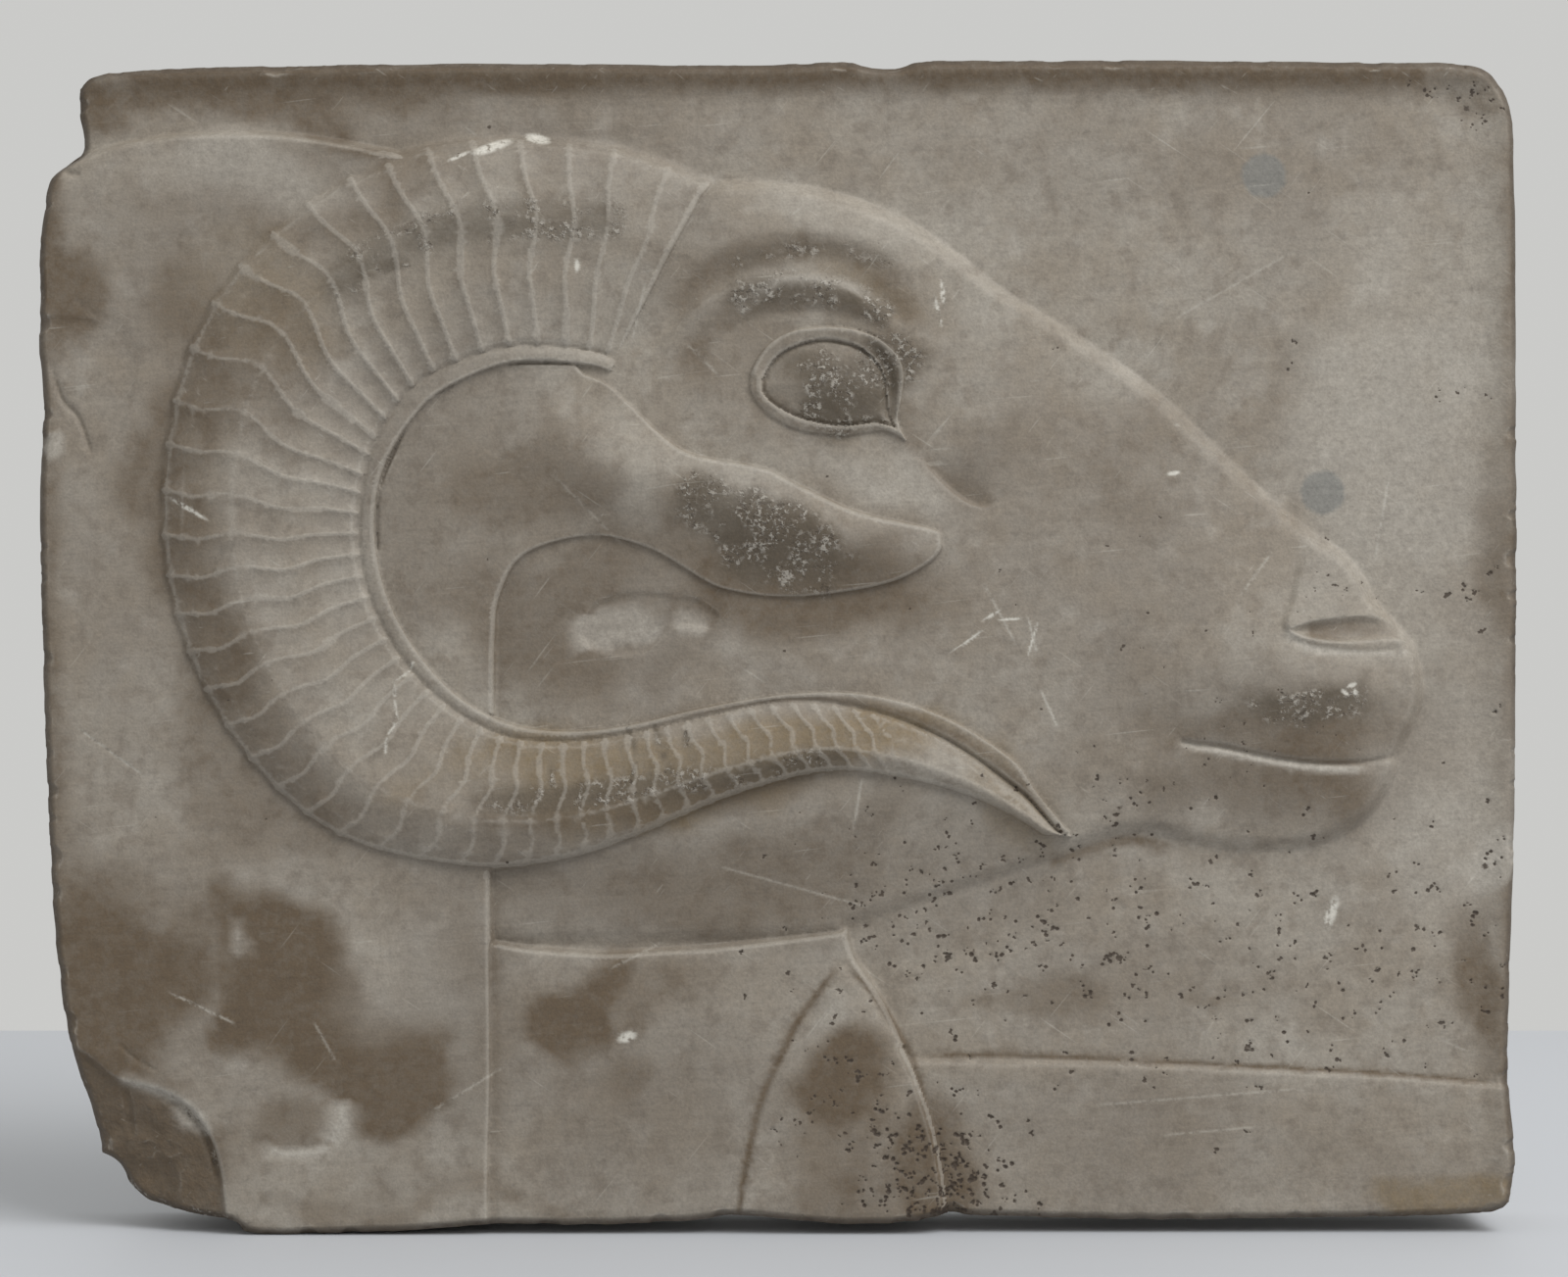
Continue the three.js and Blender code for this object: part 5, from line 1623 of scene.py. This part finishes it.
class Nodes:
    """Adds nodes to one material; a method takes numbers or sockets and returns a socket."""

    MIX_SOCKETS = (0, 6, 7)
    MIX_RESULT = 2
    FAR = 1e3

    def __init__(self, name: str) -> None:
        """Starts the material with its Principled shader."""
        self.material = bpy.data.materials.new(name)
        self.material.use_nodes = True
        self.tree = self.material.node_tree
        self.shader = self.tree.nodes["Principled BSDF"]
        coordinates = self.tree.nodes.new("ShaderNodeTexCoord")
        self.place = coordinates.outputs["Object"]

    def join(self, node: bpy.types.Node, socket: str | int, value: Value) -> None:
        """Puts a number into a node's socket, or links a socket to it."""
        if isinstance(value, Socket):
            self.tree.links.new(value, node.inputs[socket])
        else:
            node.inputs[socket].default_value = value

    def math(self, operation: str, a: Value, b: Value = 0.0, clamp: bool = False) -> Socket:
        """A sum, product or the like of two values."""
        node = self.tree.nodes.new("ShaderNodeMath")
        node.operation = operation
        node.use_clamp = clamp
        self.join(node, 0, a)
        self.join(node, 1, b)
        return node.outputs[0]

    def times(self, a: Value, b: Value, clamp: bool = False) -> Socket:
        """Product of two values."""
        return self.math("MULTIPLY", a, b, clamp)

    def less(self, a: Value, b: Value) -> Socket:
        """First value less the second."""
        return self.math("SUBTRACT", a, b)

    def total(self, base: Value, *parts: tuple[Value, float]) -> Value:
        """A base plus each value times its weight."""
        for value, weight in parts:
            base = self.math("ADD", base, self.times(value, weight))
        return base

    def mask(self, name: str) -> Socket:
        """An attribute of the mesh."""
        node = self.tree.nodes.new("ShaderNodeAttribute")
        node.attribute_name = name
        return node.outputs["Fac"]

    def moved(self, scale: tuple = (1, 1, 1), turn: float = 0.0, shift: tuple = (0, 0, 0)) -> Socket:
        """Object coordinates scaled after a turn in degrees about Y, the way into the stone."""
        turned = self.tree.nodes.new("ShaderNodeMapping")
        turned.inputs["Location"].default_value = shift
        turned.inputs["Rotation"].default_value = (0, math.radians(turn), 0)
        self.tree.links.new(self.place, turned.inputs["Vector"])
        scaled = self.tree.nodes.new("ShaderNodeMapping")
        scaled.inputs["Scale"].default_value = scale
        self.tree.links.new(turned.outputs[0], scaled.inputs["Vector"])
        return scaled.outputs[0]

    def noise(self, size: float, detail: float, rough: float, place: Optional[Socket] = None) -> Socket:
        """Noise with lumps of a size in metres."""
        node = self.tree.nodes.new("ShaderNodeTexNoise")
        node.inputs["Scale"].default_value = 1.0 / size
        node.inputs["Detail"].default_value = detail
        node.inputs["Roughness"].default_value = rough
        self.tree.links.new(place or self.place, node.inputs["Vector"])
        return node.outputs["Fac"]

    def window(self, value: Value, low: float, high: float, to: float = 1.0) -> Socket:
        """Smooth step of a value from 0 at low to a height at high."""
        node = self.tree.nodes.new("ShaderNodeMapRange")
        node.interpolation_type = "SMOOTHSTEP"
        self.join(node, "Value", value)
        node.inputs["From Min"].default_value = low
        node.inputs["From Max"].default_value = high
        node.inputs["To Max"].default_value = to
        return node.outputs["Result"]

    def tint(self, base: Value, colour: Value, share: Value, blend: str = "MIX") -> Socket:
        """A colour laid over another by a share, through the node's own colour sockets."""
        node = self.tree.nodes.new("ShaderNodeMix")
        node.data_type = "RGBA"
        node.blend_type = blend
        for socket, value in zip(self.MIX_SOCKETS, (share, base, colour)):
            self.join(node, socket, value)
        return node.outputs[self.MIX_RESULT]

    def from_place(self, centre: tuple[float, float], reach: float) -> Socket:
        """Distance from a place on the sketch, 1 at the reach, the same all through the stone."""
        node = self.tree.nodes.new("ShaderNodeMapping")
        node.vector_type = "TEXTURE"
        node.inputs["Location"].default_value = (SKETCH.x(centre[0]), 0, SKETCH.z(centre[1]))
        node.inputs["Scale"].default_value = (SKETCH.size(reach), self.FAR, SKETCH.size(reach))
        self.tree.links.new(self.place, node.inputs["Vector"])
        length = self.tree.nodes.new("ShaderNodeVectorMath")
        length.operation = "LENGTH"
        self.tree.links.new(node.outputs[0], length.inputs[0])
        return length.outputs["Value"]


@dataclass(frozen=True)
class Limestone:
    """Finish of the slab: fine pale stone, stained, handled smooth and scratched, with painted highlights on
    its arrises and painted shade in its fine hollows and along some carved edges.

    Sizes are those of the largest lumps in each noise. A window is where it starts, where it is
    full and, where there is a third number, how strong it is then. Shade is a base and the weights
    of specks, fine and brushed grain; rough is a base and the weights of specks, patina and the
    dressed back; bump is the weights of fine, specks, brushed grain, crumbs and gaps.
    """

    pale: tuple = tone(150, 143, 132)
    mid: tuple = tone(135, 127, 116)
    warm: tuple = tone(133, 122, 107)
    deep: tuple = tone(115, 105, 93)
    umber: tuple = tone(94, 80, 63)
    ochre: tuple = tone(120, 105, 82)
    grey: tuple = tone(108, 99, 88)
    patina: tuple = tone(84, 75, 62)
    light: tuple = tone(166, 160, 150)
    # Dirt in the crust's gaps and along the rim, and also the painted shade in fine hollows.
    dirt_and_shade: tuple = tone(74, 64, 53)
    black: tuple = tone(60, 49, 39)
    chalk_and_glint: tuple = tone(190, 186, 176)
    slate: tuple = tone(116, 116, 112)
    cloud_size: float = 0.030
    patch_size: float = 0.008
    bleach_size: float = 0.0045
    crust_size: float = 0.0030
    mottle_size: float = 0.0022
    tool_size: float = 0.0022
    lump_size: float = 0.0018
    speck_size: float = 0.0009
    brush_size: float = 0.0006
    crumb_size: float = 0.0006
    gap_size: float = 0.0005
    streak_size: float = 0.00042
    fine_size: float = 0.00028
    brush_way: tuple = ((0.12, 1, 1), 4)
    tool_way: tuple = ((0.3, 1, 1), 32)
    streak_stretch: tuple = (0.045, 1, 1)
    streaks: tuple = ((-34, 0.1), (52, 0.5), (6, 0.9))
    cloud_window: tuple = (0.36, 0.64)
    patch_window: tuple = (0.35, 0.7)
    mottle_window: tuple = (0.45, 0.72)
    bleach_window: tuple = (0.5, 0.74, 0.4)
    wear_and_highlight_window: tuple = (0.12, 1.3, 0.36)
    hollow_dirt_and_shade_window: tuple = (0.3, 2.6, 0.08)
    crumb_window: tuple = (0.50, 0.62)
    crust_window: tuple = (0.43, 0.58)
    gap_window: tuple = (0.54, 0.68)
    fleck_window: tuple = (0.15, 0.7, 0.8)
    dirt_window: tuple = (0.15, 0.7, 0.7)
    spot_window: tuple = (1.3, 1.0, 0.75)
    streak_window: tuple = (0.71, 0.84, 0.22)
    chalk_window: tuple = (0.32, 0.52)
    pit_window: tuple = (0.35, 0.75, 0.88)
    spots: tuple = ((1291, 178), (1351, 502))
    spot_reach: float = 22.0
    bleach_shift: tuple = (0.7, 0, 0.4)
    gap_shift: tuple = (0.3, 0, 0.2)
    grain_middle: float = 0.5
    wear_and_highlight_specks: float = 0.3
    spot_specks: float = 0.25
    pit_grain: float = 0.9
    warm_share: float = 0.6
    deep_share: float = 0.5
    dressed_share: float = 0.28
    overlay_base: float = 0.62
    overlay_mottling: float = 0.25
    overlay_specks: float = 0.76
    shade: tuple = (0.46, 0.42, 0.42, 0.24)
    rough: tuple = (0.56, 0.2, -0.12, 0.2)
    bump: tuple = (0.30, 0.55, 0.25, 0.9, -0.9)
    broken_bump: float = 4.0
    tool_bump: float = 7.0
    bump_distance: float = 0.00008

    def coloured(self, n: Nodes, patches: Socket, mottling: Socket) -> Socket:
        """The clean stone: pale and mid clouds, warm patches, deep mottling and bleached places."""
        clouds = n.window(n.noise(self.cloud_size, detail=3.0, rough=0.55), *self.cloud_window)
        colour = n.tint(self.pale, self.mid, clouds)
        colour = n.tint(colour, self.warm, n.times(patches, self.warm_share))
        colour = n.tint(colour, self.deep, n.times(mottling, self.deep_share))
        way = n.moved(shift=self.bleach_shift)
        bleached = n.noise(self.bleach_size, detail=3.0, rough=0.65, place=way)
        return n.tint(colour, self.light, n.window(bleached, *self.bleach_window))

    def stains_and_painted_light(self, n: Nodes, colour: Socket, mottling: Socket, specks: Socket) -> Socket:
        """Each stain, with the painted shade and highlights among them, by its mask, its strength and a
        share broken up by mottling and specks.
        """
        parts = n.total(0.0, (mottling, self.overlay_mottling), (specks, self.overlay_specks))
        broken_up = n.math("ADD", self.overlay_base, parts)
        for name, overlay, strength in (
            ("grey", self.grey, 0.75), ("ochre", self.ochre, 0.85), ("umber", self.umber, 0.92),
            ("patina", self.patina, 0.85), ("broken", self.umber, 0.7), ("rim", self.dirt_and_shade, 0.75),
            ("pale", self.light, 0.85),
        ):
            share = n.times(n.times(n.mask(name), strength), broken_up, clamp=True)
            colour = n.tint(colour, overlay, share)
        return colour

    def wear_and_relief_shade(self, n: Nodes, colour: Socket, specks: Socket) -> Socket:
        """Arrises made pale and fine hollows darkened: the pale is partly rubbed wear and partly painted
        highlight, the dark partly dirt and partly painted shade.
        """
        arris = n.mask("arris")
        rubbed_and_highlit = n.total(arris, (n.less(specks, self.grain_middle), self.wear_and_highlight_specks))
        # Painted highlight: fine convex arrises made pale, together with their rubbed wear.
        colour = n.tint(colour, self.light, n.window(rubbed_and_highlit, *self.wear_and_highlight_window))
        # Painted shade: fine hollows darkened, together with their dirt.
        hollow_dirt_and_shade = n.window(n.times(arris, -1.0), *self.hollow_dirt_and_shade_window)
        return n.tint(colour, self.dirt_and_shade, hollow_dirt_and_shade)

    def marked(self, n: Nodes, colour: Socket, specks: Socket, fine: Socket) -> Socket:
        """Slate spots, chalky streaks, placed chalk with the muzzle's partly painted glint, and dark pits.
        """
        carved = n.less(1.0, n.mask("dressed"))
        for centre in self.spots:
            spot = n.total(n.from_place(centre, self.spot_reach), (specks, self.spot_specks))
            share = n.times(carved, n.window(spot, *self.spot_window))
            colour = n.tint(colour, self.slate, share)
        for turn, shift in self.streaks:
            way = n.moved(self.streak_stretch, turn, (shift, 0, shift))
            streaks = n.noise(self.streak_size, detail=1.0, rough=0.5, place=way)
            colour = n.tint(colour, self.chalk_and_glint, n.window(streaks, *self.streak_window))
        chalk_and_glint = n.times(n.mask("chalk_and_glint"), n.window(specks, *self.chalk_window), clamp=True)
        colour = n.tint(colour, self.chalk_and_glint, chalk_and_glint)
        pit = n.total(n.mask("pit"), (n.less(fine, self.grain_middle), self.pit_grain))
        return n.tint(colour, self.black, n.window(pit, *self.pit_window))

    def crust(self, n: Nodes) -> tuple[Socket, Socket]:
        """Crumbs of crust on the patina, and the dirty gaps among them."""
        patina = n.mask("patina")
        crusts = n.window(n.noise(self.crust_size, detail=2.0, rough=0.6), *self.crust_window)
        crumbs = n.window(n.noise(self.crumb_size, detail=3.0, rough=0.7), *self.crumb_window)
        flecks = n.times(n.times(crumbs, crusts), n.window(patina, *self.fleck_window))
        between = n.noise(self.gap_size, detail=2.0, rough=0.7, place=n.moved(shift=self.gap_shift))
        gaps = n.times(n.window(between, *self.gap_window), crusts)
        return flecks, n.times(gaps, n.window(patina, *self.dirt_window))

    def shaded(self, n: Nodes, colour: Socket, *grains: Socket) -> Socket:
        """A colour made lighter and darker by the grain of the stone."""
        base, *weights = self.shade
        shade = n.total(base, *zip(grains, weights))
        combined = n.tree.nodes.new("ShaderNodeCombineColor")
        for channel in range(3):
            n.join(combined, channel, shade)
        return n.tint(colour, combined.outputs[0], 1.0, "MULTIPLY")

    def relief(self, n: Nodes, *grains: Socket) -> Socket:
        """Bump from the grain and the crust, stronger where the stone is broken or dressed."""
        dressed = n.mask("dressed")
        rugged = n.math("ADD", n.mask("broken"), dressed, clamp=True)
        lumps = n.times(rugged, n.noise(self.lump_size, detail=3.0, rough=0.65))
        strokes = n.noise(self.tool_size, detail=2.0, rough=0.6, place=n.moved(*self.tool_way))
        tooled = n.times(dressed, strokes)
        bump = n.total(0.0, *zip(grains, self.bump), (lumps, self.broken_bump), (tooled, self.tool_bump))
        node = n.tree.nodes.new("ShaderNodeBump")
        node.inputs["Strength"].default_value = 1.0
        node.inputs["Distance"].default_value = self.bump_distance
        n.join(node, "Height", bump)
        return node.outputs[0]

    def material(self) -> bpy.types.Material:
        """The stone's colour from its tones, stains and marks, its roughness and its bump."""
        n = Nodes("limestone")
        patches = n.window(n.noise(self.patch_size, detail=3.0, rough=0.6), *self.patch_window)
        mottling = n.window(n.noise(self.mottle_size, detail=3.0, rough=0.65), *self.mottle_window)
        specks = n.noise(self.speck_size, detail=2.0, rough=0.7)
        fine = n.noise(self.fine_size, detail=1.0, rough=0.6)
        brushed = n.noise(self.brush_size, detail=2.0, rough=0.6, place=n.moved(*self.brush_way))
        flecks, gaps = self.crust(n)
        dressed = n.mask("dressed")

        colour = self.coloured(n, patches, mottling)
        colour = self.stains_and_painted_light(n, colour, mottling, specks)
        colour = self.wear_and_relief_shade(n, colour, specks)
        colour = n.tint(colour, self.light, flecks)
        colour = n.tint(colour, self.dirt_and_shade, gaps)
        colour = self.marked(n, colour, specks, fine)
        colour = n.tint(colour, self.umber, n.times(dressed, n.times(patches, self.dressed_share)))
        n.join(n.shader, "Base Color", self.shaded(n, colour, specks, fine, brushed))

        base, *weights = self.rough
        rough = n.total(base, *zip((specks, n.mask("patina"), dressed), weights))
        n.join(n.shader, "Roughness", rough)
        n.join(n.shader, "Normal", self.relief(n, fine, specks, brushed, flecks, gaps))
        return n.material


@dataclass
class Studio:
    """Camera, floor, pale surround and soft light."""

    distance: float = 0.4
    sensor: float = 36.0
    floor_half: float = 1.2
    floor_back: float = 0.192
    key_place: tuple[float, float, float] = (0.43, -0.50, 0.72)
    key_size: float = 0.6
    key_power: float = 7.4
    focus_height: float = 0.001
    floor_tone: tuple = tone(193, 196, 201)
    floor_rough: float = 0.6
    surround_tone: tuple = tone(201, 201, 199)

    def add_camera(self) -> None:
        """Camera square to the face, with a lens that takes in the photograph's width there."""
        data = bpy.data.cameras.new("camera")
        data.sensor_fit = "HORIZONTAL"
        data.sensor_width = self.sensor
        data.lens = self.sensor * self.distance / SKETCH.size(PHOTO_WIDTH)
        camera = bpy.data.objects.new("camera", data)
        front = GROUND_THICKNESS + self.focus_height
        place = (SKETCH.x(PHOTO_WIDTH / 2), -front - self.distance, SKETCH.z(PHOTO_HEIGHT / 2))
        camera.location = place
        camera.rotation_euler = (math.pi / 2, 0, 0)
        bpy.context.scene.collection.objects.link(camera)
        bpy.context.scene.camera = camera

    def add_floor(self) -> None:
        """Plain pale floor at the slab's foot, ending a little behind it."""
        level = float(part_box("relief_panel")[0][2])
        half = self.floor_half
        back = self.floor_back
        corners = [(-half, -half, level), (half, -half, level), (half, back, level), (-half, back, level)]
        floor = make_mesh("floor", np.array(corners), np.array([[0, 1, 2, 3]]))
        paint = Nodes("floor_paint")
        paint.shader.inputs["Base Color"].default_value = self.floor_tone
        paint.shader.inputs["Roughness"].default_value = self.floor_rough
        floor.data.materials.append(paint.material)

    def add_light(self) -> None:
        """Pale surround and one large soft lamp above, to the right and in front."""
        world = bpy.data.worlds.new("surround")
        world.use_nodes = True
        world.node_tree.nodes["Background"].inputs["Color"].default_value = self.surround_tone
        bpy.context.scene.world = world
        bpy.context.scene.view_settings.view_transform = "Standard"
        data = bpy.data.lights.new("key", "AREA")
        data.size = self.key_size
        data.energy = self.key_power
        lamp = bpy.data.objects.new("key", data)
        lamp.location = self.key_place
        lamp.rotation_euler = (-Vector(self.key_place)).to_track_quat("-Z", "Y").to_euler()
        bpy.context.scene.collection.objects.link(lamp)


def main() -> None:
    """Builds the setting and the slab."""
    logging.basicConfig(level=logging.INFO)
    studio = Studio()
    studio.add_camera()
    slab = Slab().build()
    slab.data.materials.append(Limestone().material())
    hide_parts("relief_panel")
    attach(slab, "root")
    studio.add_floor()
    studio.add_light()


if __name__ == "__main__":
    main()
